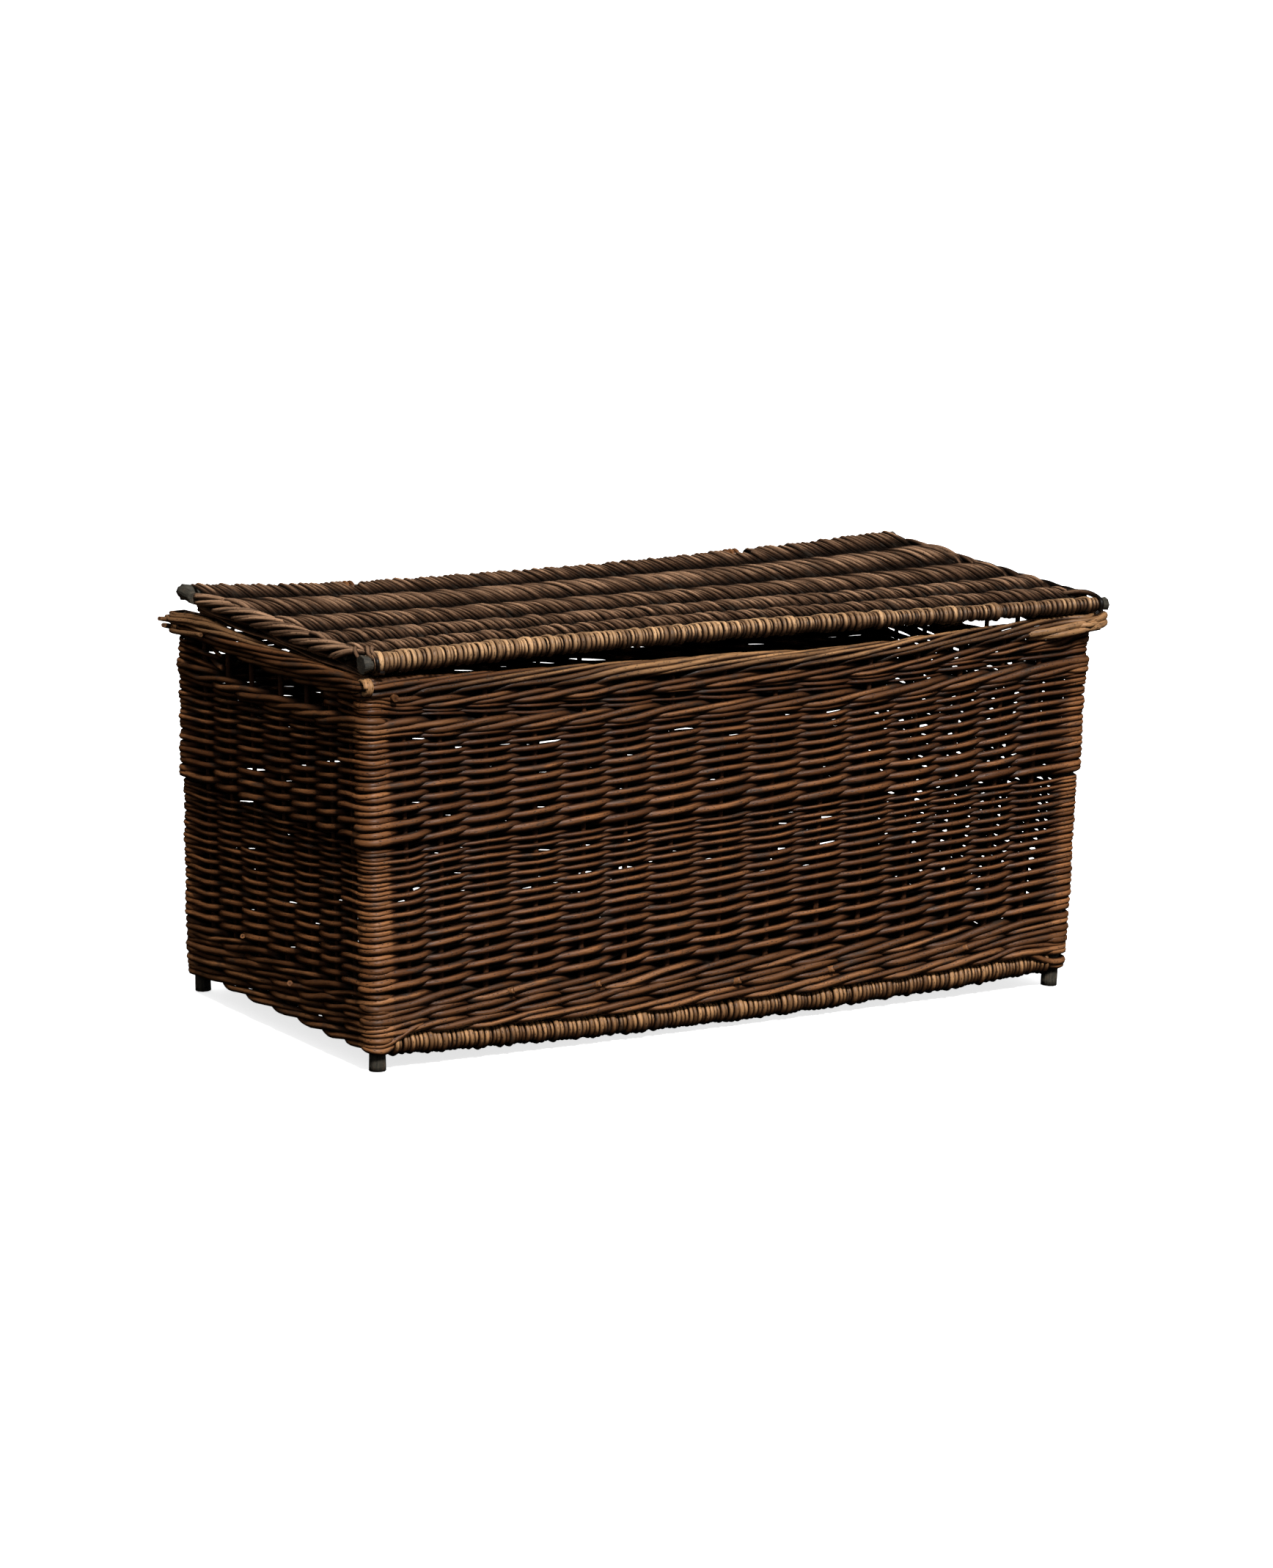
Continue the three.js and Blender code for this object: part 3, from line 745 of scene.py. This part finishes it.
def stakes_and_border():
    for name, (first, last) in SIDE_STAKES.items():
        uprights = Bundle(basket_warp, (0.4,))
        for k in range(first, last):
            foot = BASE_Z + 0.5 if name in ("front", "back") else FOOT_Z + 2
            z = np.linspace(foot, RAIL_Z + 8, 40)
            phase = rng.random(2) * ANY_PHASE
            s = STAKES[k] + 0.9 * np.sin(z / 60 + phase[0]) + 0.4 * np.sin(z / 21 + phase[1])
            uprights.rod(on_wall(s, 0.0, z), STAKE_R * np.linspace(1.08, 0.92, 40))
        piece("stakes_" + name, uprights, "basket", STAKE, ["stakes_and_border_" + name])
        rim = Bundle(basket_warp, IN_BORDER)
        for k in range(first, last):
            # the rods round the back left corner and along the left end get little tan, and the left end's
            # border takes the darker thick willow: both are painted shade
            border_rod(rim, k, rng.random() * (0.25 if k >= FIRST_SHADED_RIM else 1.0))
        piece("border_" + name, rim, "basket", WALE if name == "left" else BORDER)
    corner_details()


def corner_swing(s):
    """How far the border stands out, because it swings wide round the corners."""
    return sum(reach * near(s, SIDE_START[k] - ARC / 2, SWING_LENGTH) for k, reach in SWING.items())


def border_rod(bundle, k, tone):
    """A stake's top bent over to the right: it climbs round the border's outside and ends inside the rim."""
    reach = 4.9 + rng.uniform(-0.3, 0.3)
    u = np.linspace(0.12, reach, 60)
    s = np.interp(k + COUNT + u, np.arange(len(STAKES_ALL)), STAKES_ALL)
    angle = np.radians(-52 + 37 * u + 5 * np.sin(u * 2 + rng.random() * 6))
    start = soft_ended(share(u, 0, 0.5))
    tail = share(u, reach - 0.7, reach) ** 1.5
    girth = BORDER_R * rng.uniform(0.78, 1.2) * np.linspace(1.06, 0.78, 60)
    out = BORDER_OUT * np.cos(angle) * start * (1 - tail) - 7 * tail + corner_swing(s) * (1 - tail)
    gathered = 1 - 0.45 * near(s, SIDE_START[3] - ARC / 2, 60)
    z = BORDER_Z + gathered * BORDER_RISE * np.sin(angle) * start + (1 - start) * -12 - 7 * tail
    z = np.minimum(z + 0.5 * np.sin(u * 3 + rng.random() * 6), RIM_Z - 0.4 - girth)
    bundle.rod(on_wall(s, out, z), girth * (0.4 + 0.6 * gathered), tone)


def bent(points, count=30):
    """A smooth line through a few points."""
    points = np.asarray(points, float)
    t = np.linspace(0, len(points) - 1, count)
    i = np.clip(t.astype(int), 0, len(points) - 2)
    u = (t - i)[:, None]
    pad = np.concatenate([[2 * points[0] - points[1]], points, [2 * points[-1] - points[-2]]])
    a, b, c, d = pad[i], pad[i + 1], pad[i + 2], pad[i + 3]
    squared = 2 * a - 5 * b + 4 * c - d
    cubed = 3 * b - a - 3 * c + d
    return 0.5 * (2 * b + (c - a) * u + squared * u * u + cubed * u ** 3)


# Rod ends that stick out at two corners: the radius, and points across and back from the corner, and up.
BACK_LEFT_TIPS = [
    (3.4, [(60, -6, 402), (20, 1, 406), (-4, -1, 411), (-20, -9, 415)]),
    (3.6, [(50, 2, 396), (12, 3, 400), (-8, -2, 405), (-17, -12, 408)]),
    (3.4, [(10, 0, 398), (-6, -8, 401), (-10, -34, 403), (-6, -80, 407)]),
]
FRONT_RIGHT_TIPS = [
    (3.9, [(-96, 6, 400), (-60, -6, 403), (-12, -8, 408), (9, -3, 411), (17, 13, 410), (6, 30, 405)]),
    (3.8, [(-80, 6, 396), (-46, -8, 398), (-4, -9, 402), (13, 0, 404), (16, 24, 402), (2, 50, 400)]),
    (4.4, [(-40, 4, 404), (-6, 2, 408), (4, 12, 409), (2, 40, 405)]),
]


def corner_details():
    """The wrapped front left corner, and the rod ends that stick out at the back left and front right."""
    bundle = Bundle(basket_warp, (0.85,), 9)
    turns = np.linspace(0, 2.4 * 2 * np.pi, 60)
    coil = np.stack([-427 + 0.45 * turns, -217 - 9.0 * np.cos(turns), 407 + 7.0 * np.sin(turns)], -1)
    bundle.rod(coil, 2.7, tone=0.9)
    for radius, points in BACK_LEFT_TIPS:
        line = bent(points) + [-HALF_L, HALF_W, 0]
        bundle.rod(line, radius * np.linspace(1.0, 0.75, 30), tone=0.1)
    for radius, points in FRONT_RIGHT_TIPS:
        bundle.rod(bent(points) + [HALF_L, -HALF_W, 0], radius, tone=0.7)
    piece("border_corner_ends", bundle, "basket", BORDER)


def snags():
    """The knot under the border, the pale broken tip on the left end, and cut ends along the bottom wale."""
    bundle = Bundle(basket_warp, (0.9,), 9)
    knot = SIDE_MIDDLE[0] - 396
    bundle.rod(on_wall(np.full(6, knot), np.linspace(2, 14, 6), np.full(6, 396.0)), 4.0, tone=0.1)
    tip = SIDE_MIDDLE[3] - 73 + np.linspace(0, 7, 6)
    bundle.rod(on_wall(tip, np.linspace(3, 11, 6), np.linspace(86, 91, 6)), 2.4, tone=1.0)
    for k in (2, 4, 7, 9, 12, 16, 19, 40):
        s = STAKES[k] + rng.uniform(6, 18) + np.linspace(0, 9, 6)
        z = rng.uniform(48, 76) + np.linspace(0, 3, 6)
        bundle.rod(on_wall(s, np.linspace(4, 11, 6), z), 3.3, tone=0.6)
    piece("rod_ends", bundle, "basket", WALE)


def walls():
    lower = Bundle(basket_warp, IN_WALL)
    rand_band(lower, WALE_Z, MIDDLE_Z - 0.5, 28, 7.4, 4.0)
    piece("weave_lower", lower, "basket", WEAVE, ["lower_weave"])
    upper = Bundle(basket_warp, IN_WALL)
    rand_band(upper, MIDDLE_Z, UPPER_Z + 1, 20, 7.8, 4.4)
    piece("weave_upper", upper, "basket", WEAVE, ["upper_weave"])
    bottom = Bundle(basket_warp, IN_WALL)
    for r in range(WALE_ROUNDS):
        wale_round(bottom, wale_level(r), wale_level(r + 1), 3.8, 26 + r, climb=0.33 + 0.06 * r)
    foot_low = lambda s: FOOT_Z + 0.5 + (BASE_Z - FOOT_Z) * (1 - end_share(s, 50))
    foot_high = lambda s: foot_low(s) + 16 - 8 * (1 - end_share(s, 50))
    for start in (13, 34):
        wale_round(bottom, foot_low, foot_high, 3.6, start, climb=0.3, span=10)
    piece("wale_bottom", bottom, "basket", WALE, ["bottom_wale"])
    upper_wale = Bundle(basket_warp, IN_WALL)
    wale_round(upper_wale, level(UPPER_Z), level(STRIP_Z), 3.9, 26, climb=0.33)
    piece("wale_upper", upper_wale, "basket", WALE, ["upper_wale"])


def strip_rows(name, first, last):
    """Thin rows that stop at the hand holes."""
    bundle = Bundle(basket_warp, IN_WALL, 7)
    rows = 4
    for i in range(rows):
        knots, kind = knots_between(first, last)
        radius = rng.uniform(1.6, 2.3)
        front = np.mod(np.where(kind < 0, 1, kind + i), 2) == 1
        out = reach_out(kind, front, radius) + rng.normal(0, 0.4, len(knots))
        s = samples(knots, 7)
        pitch = (14.0 + 7.0 * end_share(s, 30)) / rows
        z = STRIP_Z + 1.6 + pitch * (i + 0.4) + eased(knots, rng.normal(0, 0.9, len(knots)), s)
        taper = 1 + 0.2 * np.sin(s / 120 + rng.random() * 6)
        bundle.rod(on_wall(s, eased(knots, out, s), z), radius * taper * pitch / 3.5)
    piece(name, bundle, "basket", WEAVE, ["top_" + name])


def under_rim():
    """The round of dark strokes under the border, which lifts over the hand holes."""
    bundle = Bundle(basket_warp, IN_WALL)
    low = lambda s: 380.0 + 8.5 * end_share(s, 30)
    high = lambda s: 394.0 + 7.0 * end_share(s, 30)
    wale_round(bundle, low, high, 3.2, 26, climb=0.32)
    piece("wale_under_border", bundle, "basket", WALE)


def base():
    """Five long sticks, the rods woven across them, and the wraps round the front and back sticks."""
    middle = (FOOT_Z + BASE_Z) / 2
    for i, y in enumerate(BASE_STICK_Y):
        bundle = Bundle(basket_warp, (0.4,), 10)
        reach = HALF_L - 27 if i in (0, 4) else HALF_L - 15
        bundle.rod(straight([(-reach, y, middle), (reach, y, middle)], 40, 0.5), BASE_STICK_R)
        name = "base_stick_%d" % (i + 1)
        piece(name + "_rod", bundle, "basket", BARK, [name])
    floor_rods = Bundle(basket_warp, (lambda p: np.abs(p[..., 2] - middle), 0, 9), 6)
    x, turn = -HALF_L + 30, 0
    while x < HALF_L - 30:
        sign = 1 if turn % 2 else -1
        r = rng.uniform(2.3, 3.0)
        y = np.linspace(-204, 204, 49)
        swing = np.cos(np.pi * (y - BASE_STICK_Y[0]) / BASE_STICK_STEP)
        z = middle + sign * (BASE_STICK_R + r - 1) * swing * 0.8
        floor_rods.rod(np.stack([np.full(49, x + r) + 0.6 * np.sin(y / 60 + x), y, z], -1), r)
        x += 2 * r * 0.7
        turn += 1
    piece("base_rods", floor_rods, "basket", WEAVE, ["base_weave"])
    edges = (("front", BASE_STICK_Y[0], (330, 105)), ("back", BASE_STICK_Y[-1], (-150, 75)))
    for name, y, angles in edges:
        wraps = Bundle(basket_warp, round_stick(basket_warp, y, middle - 2, BASE_STICK_R + 1))
        wrap_along(wraps, -HALF_L + 26, HALF_L - 27, y, middle - 2, BASE_STICK_R + 1, angles, (1.6, 3.6))
        piece("base_%s_edge_wraps" % name, wraps, "basket", BORDER)


def wrap_along(bundle, x, x_end, y, z, stick_r, angles, girths):
    """Strands of many widths wrapped side by side round a long stick."""
    while x < x_end:
        r = girths[0] + (girths[1] - girths[0]) * rng.beta(1.6, 1.8)
        angle = np.radians(np.linspace(angles[0] + rng.normal(0, 6), angles[1], 16))
        ring = stick_r + r * rng.uniform(0.75, 1.0)
        xs = x + r + rng.normal(1.2, 1.3) * np.linspace(-0.5, 0.5, 16)
        line = np.stack([xs, y + ring * np.cos(angle), z + ring * np.sin(angle)], -1)
        bundle.rod(line, r * (1 + 0.05 * np.sin(angle * 2 + rng.random() * 6)))
        x += 2 * r * rng.uniform(0.97, 1.08)


# ---- the lid ----
def lid_sticks():
    for i, y in enumerate(LID_STICKS_Y):
        outer = i in (0, 5)
        bundle = Bundle(lid_warp, (0.4,), 7 if outer else 12)
        x0, x1 = (LID_X0 + (4 if i == 0 else -2), LID_X1) if outer else (LID_X0 + 7, LID_X1 - 7)
        line = straight([(x0, y, LID_Z), (x1, y, LID_Z)], 90, 0.3)
        thick = np.linspace(1.1, 0.9, 90)
        ends = np.minimum(line[:, 0] - x0, x1 - line[:, 0])
        swell = 1 + (0.45 if outer else 0.0) * np.clip(1 - ends / 16, 0, 1) ** 0.5
        bundle.rod(line, (OUTER_R if outer else INNER_R) * swell * thick)
        if i == 0:
            bundle.rod(straight([(LID_X0 + 4, y + 1, LID_Z + 1), (LID_X0 + 3, y - 33, LID_Z - 1)], 8), 6.8)
        name = "lid_stick_%d" % (i + 1)
        piece(name + "_rod", bundle, "lid", BARK, [name])


def across_lid(x, r, sign, drift, notched):
    """The line of a rod across the lid, over (+1) or under (-1) the back stick and then by turns."""
    ys = np.array(LID_STICKS_Y)
    signs = sign * np.array([1, -1, 1, -1, 1, -1])
    highs = np.array([OUTER_R - 0.2 * r] + [INNER_R] * 4 + [OUTER_R]) + r
    heights = np.where(signs > 0, highs, -highs)
    heights[-1] = -3.0 if signs[-1] < 0 else 3.0
    t = np.linspace(0, 4.9, 69)
    i = np.minimum(t.astype(int), 4)
    u = t - i
    y = ys[i] + (ys[i + 1] - ys[i]) * u
    z = heights[i] + (heights[i + 1] - heights[i]) * half_wave(u)
    xs = x + drift * (0.5 - (LID_BACK_Y - y) / LID_DEPTH) + 0.6 * np.sin(t * 1.7 + x)
    line = np.stack([xs, y, LID_Z + z], -1)
    if notched:
        return line[y < LID_BACK_Y - NOTCH_IN + 3]
    if sign > 0:
        ring = OUTER_R + 0.75 * r
        angle = np.radians(np.linspace(-125, 82, 16))
        xs_round = xs[0] - np.linspace(2.5, 0.2, 16)
        around = [xs_round, LID_BACK_Y + ring * np.cos(angle), LID_Z + ring * np.sin(angle)]
        return np.concatenate([np.stack(around, -1), line[1:]])
    return line


def lid_weave():
    """Thick and thin rods side by side across the lid's sticks, which leave a notch at each hinge loop."""
    thirds = [Bundle(lid_warp, IN_LID, 7, both=True) for _ in range(3)]
    x, turn = LID_X0 + 9, 0
    while x < LID_X1 - 11:
        r = rng.uniform(1.8, 2.6) if rng.random() < 0.5 else rng.uniform(2.7, 3.5)
        sign = 1 if turn % 2 else -1
        place = x + r * 0.6
        notched = any(abs(place - h) < NOTCH_W / 2 + 1.5 for h in HINGES)
        line = across_lid(place, r, sign, 9 + 4 * math.sin(x / 60) + rng.normal(0, 0.8), notched)
        line[:, 0] = np.clip(line[:, 0], LID_X0 + 9, LID_X1 - 8)
        which = min(2, int((place - LID_X0) / (LID_LENGTH / 3)))
        thinner = 1 - 0.27 * share(line[:, 1], LID_BACK_Y - 30, LID_BACK_Y - 6)
        thirds[which].rod(line, r * np.linspace(1.08, 0.92, len(line)) * thinner)
        x += r * 1.16
        turn += 1
    piece("lid_rods_left", thirds[0], "lid", LID, ["lid_weave"])
    piece("lid_rods_middle", thirds[1], "lid", LID)
    piece("lid_rods_right", thirds[2], "lid", LID)


def lid_front_wraps():
    """Strands of many widths wrapped round the lid's front stick, whose ends fall back in among the rods."""
    bundle = Bundle(lid_warp, round_stick(lid_warp, LID_FRONT_Y, LID_Z, OUTER_R), 9)
    x = LID_X0 + 9
    while x < LID_X1 - 9:
        r = 1.2 + 2.3 * rng.beta(1.2, 1.5)
        stick = OUTER_R + 1.6 - 3.4 * (x - LID_X0) / LID_LENGTH
        ring = stick + r * rng.uniform(0.45, 0.75)
        angle = np.radians(np.linspace(330, 100, 18))
        xs = x + r + rng.normal(1.3, 1.3) * np.linspace(-0.5, 0.5, 18)
        arc = np.stack([xs, LID_FRONT_Y + ring * np.cos(angle), LID_Z + ring * np.sin(angle)], -1)
        t = np.linspace(0.15, 1, 7)
        fall = np.stack([xs[-1] - 5 * t, LID_FRONT_Y + 30 * t, LID_Z + ring - (ring + 3) * t ** 1.5], -1)
        bundle.rod(np.concatenate([arc, fall]), np.concatenate([np.full(18, r), r * (1 - 0.35 * t)]))
        x += 2 * r * rng.uniform(1.0, 1.14)
    piece("lid_front_wraps", bundle, "lid", EDGE)


def plait_stroke(bundle, edge, inward, y0):
    """A stroke along the lid's end: it comes up from outside, crosses the top and turns in among the rods."""
    y1 = max(y0 - rng.uniform(140, 155), LID_FRONT_Y + 2)
    u = np.linspace(0, 1, 30)
    y = y0 + (y1 - y0) * u
    angle = np.radians(212 - 190 * u)
    xs = edge + inward * (11.5 + 8.2 * np.cos(angle) + 5 * share(u, 0.75, 1) ** 2)
    z = LID_Z - 2 + 8.2 * np.sin(angle) - 4 * share(u, 0.85, 1) ** 2
    girth = rng.uniform(2.6, 3.4) * np.sin(np.pi * (0.12 + 0.8 * u)) ** 0.4
    keep = y < LID_BACK_Y - 31
    if keep.sum() > 3:
        bundle.rod(np.stack([xs, y, z], -1)[keep], girth[keep])


# Thin rods looped over the front corners: points inward, back and up.
CORNER_LOOPS = [
    [(17, 50, 7), (8, 32, 8), (3, 15, 5), (7, 3, 0), (14, -8, -7), (20, -9, -9)],
    [(30, 38, 7), (20, 20, 11), (13, 3, 10), (12, -9, 4), (13, -10, -6)],
    [(22, 34, 9), (15, 18, 11), (10, 6, 9), (10, -6, 5)],
]


def lid_ends():
    """Each end is edged with pairs of strokes that run along it and turn in among the lid's rods."""
    for name, edge, inward in (("left", LID_X0, 1), ("right", LID_X1, -1)):
        core = edge + inward * 12 + ORIGIN[0]
        depth = (lambda p, core=core: np.hypot(p[..., 0] - core, p[..., 2] - LID_Z - 4), 3, 11)
        bundle = Bundle(lid_warp, depth, both=True)
        for i in range(9):
            for pair in range(2):
                plait_stroke(bundle, edge, inward, LID_BACK_Y + 16 - 46 * i - 9 * pair)
        for lane in range(8):
            y = np.linspace(LID_BACK_Y - 36, LID_FRONT_Y + 10, 60)
            xs = edge + inward * (8 + 3.4 * (lane % 4) + 1.5 * np.sin(y / 31 + lane))
            z = LID_Z - 8 - 5.5 * (lane // 4) + 1.5 * np.sin(y / 27 + 2.1 * lane)
            bundle.rod(np.stack([xs, y, z], -1), 2.9)
        for lane in range(3):
            y = np.linspace(LID_BACK_Y - 42, LID_FRONT_Y + 22, 60)
            xs = edge + inward * (17 + 4 * lane + 1.5 * np.sin(y / 29 + lane))
            bundle.rod(np.stack([xs, y, LID_Z - 18 + np.sin(y / 23 + lane)], -1), 3.2)
        for points in CORNER_LOOPS:
            line = bent([(edge + inward * x, LID_FRONT_Y + y, LID_Z + z) for x, y, z in points])
            bundle.rod(line, 2.3)
        piece("lid_end_plait_" + name, bundle, "lid", LID, ["lid_end_" + name])


# ---- hinge loops ----
def loop_outline(grow, count=48):
    """A closed line held taut round the lid's back stick and the border below it."""
    flare = 1 + FLARE_W / HALF_W
    inner = (HALF_W - 16) * flare + LEAN_Y
    outer = (HALF_W + 9) * flare + LEAN_Y
    pins = ((LID_BACK_Y, LID_Z, OUTER_R), (inner + 6, 397.0, 6.0), (outer - 6, 397.0, 6.0))
    a = np.linspace(0, 2 * np.pi, 360, endpoint=False)
    rays = np.stack([np.cos(a), np.sin(a)], -1)
    support = np.stack([rays @ np.array([y, z]) + radius + grow for y, z, radius in pins]).max(axis=0)
    slope = (np.roll(support, -1) - np.roll(support, 1)) / (2 * (a[1] - a[0]))
    line = np.stack([support * np.cos(a) - slope * np.sin(a), support * np.sin(a) + slope * np.cos(a)], -1)
    walked = np.append(0, np.cumsum(np.linalg.norm(np.diff(line, axis=0), axis=1)))
    spaced = np.linspace(0, walked[-1], count, endpoint=False)
    return np.stack([np.interp(spaced, walked, side) for side in line.T], -1)


def hinge_loops():
    """Three rods side by side, each wound once and a third round the back stick and the border."""
    for name, x in zip(("left", "right"), HINGES):
        bundle = Bundle(lambda p: p + ORIGIN, (0.75,))
        for lane in range(3):
            ring = loop_outline(LOOP_GROW)
            turns = np.concatenate([ring, ring[: len(ring) // 3]])
            xs = x - 6 + 6 * lane + np.linspace(-1.4, 1.4, len(turns))
            bundle.rod(np.stack([xs, turns[:, 0], turns[:, 1]], -1), LOOP_R)
        piece("hinge_loop_%s_rods" % name, bundle, "basket", WALE, ["hinge_loop_" + name])


posts()
stakes_and_border()
walls()
strip_rows("strip_front", 42, 60)
strip_rows("strip_back", 20, 38)
under_rim()
snags()
base()
lid_sticks()
lid_weave()
lid_front_wraps()
lid_ends()
hinge_loops()


# ---- floor, light and camera ----
def far_light(name, azimuth, elevation, softness, strength, shiny=False):
    """An even light from far away. Its azimuth is degrees to the right of straight in front. Only a shiny
    one is seen in the willow's gloss."""
    data = bpy.data.lights.new(name, "SUN")
    data.angle = math.radians(softness)
    data.energy = strength
    made = placed(name, data)
    a, e = math.radians(azimuth), math.radians(elevation)
    towards = Vector((math.sin(a) * math.cos(e), -math.cos(a) * math.cos(e), math.sin(e)))
    made.location = towards * 4
    made.visible_glossy = shiny
    made.rotation_euler = towards.to_track_quat("Z", "Y").to_euler()


FLOOR_LOOKS = {
    "Base Color": (0.95, 0.95, 0.95, 1),
    "Roughness": 1.0,
    "Specular IOR Level": 0.0,
    "Emission Color": (1, 1, 1, 1),
    "Emission Strength": 0.75,
}


def studio():
    """A pale floor and background, which light nothing themselves, and five lights."""
    bpy.ops.mesh.primitive_plane_add(size=60, location=(0, 0, 0))
    floor = bpy.context.object
    floor.name = "floor"
    material, _, shader = new_material("pale_floor")
    for socket, value in FLOOR_LOOKS.items():
        shader.inputs[socket].default_value = value
    floor.data.materials.append(material)
    floor.visible_diffuse = False
    floor.visible_glossy = False
    world = bpy.data.worlds.new("studio")
    bpy.context.scene.world = world
    world.use_nodes = True
    background = world.node_tree.nodes["Background"]
    background.inputs["Color"].default_value = (1, 1, 1, 1)
    background.inputs["Strength"].default_value = 1.0
    world.cycles_visibility.diffuse = False
    world.cycles_visibility.glossy = False
    far_light("key", -9, 49, 11, 4.5, shiny=True)
    far_light("sky", 0, 80, 150, 0.8)
    far_light("behind", 152, 24, 70, 1.5)
    far_light("left", -100, 25, 90, 0.3)
    far_light("right", 88, 22, 90, 0.9)


AZIMUTH, ELEVATION, ROLL = 29.693, 11.137, 0.331  # degrees
DISTANCE = 6600.0
ASIDE = (-9.863, -223.391)  # where the box's middle at the floor lies from the aim point: right and up, in mm
LENS, SENSOR = 92.0913, 24.0


def camera():
    """A camera at the photograph's angle: left of straight in front, and a little above."""
    a, e, roll = (math.radians(v) for v in (AZIMUTH, ELEVATION, ROLL))
    right = np.array([math.cos(a), -math.sin(a), 0])
    ahead = np.array([math.sin(a) * math.cos(e), math.cos(a) * math.cos(e), -math.sin(e)])
    up = np.cross(right, ahead)
    right, up = (
        math.cos(roll) * right + math.sin(roll) * up,
        math.cos(roll) * up - math.sin(roll) * right,
    )
    place = (-ASIDE[0] * right - ASIDE[1] * up - DISTANCE * ahead + ORIGIN) * MM
    data = bpy.data.cameras.new("camera")
    data.sensor_fit = "VERTICAL"
    data.sensor_height = SENSOR
    data.sensor_width = SENSOR
    data.lens = LENS
    data.clip_end = 100
    made = placed("camera", data)
    rotation = Matrix((right, up, -ahead)).transposed().to_4x4()
    made.matrix_world = Matrix.Translation(Vector(place)) @ rotation
    bpy.context.scene.camera = made


studio()
camera()
bpy.context.scene.view_settings.view_transform = "Standard"
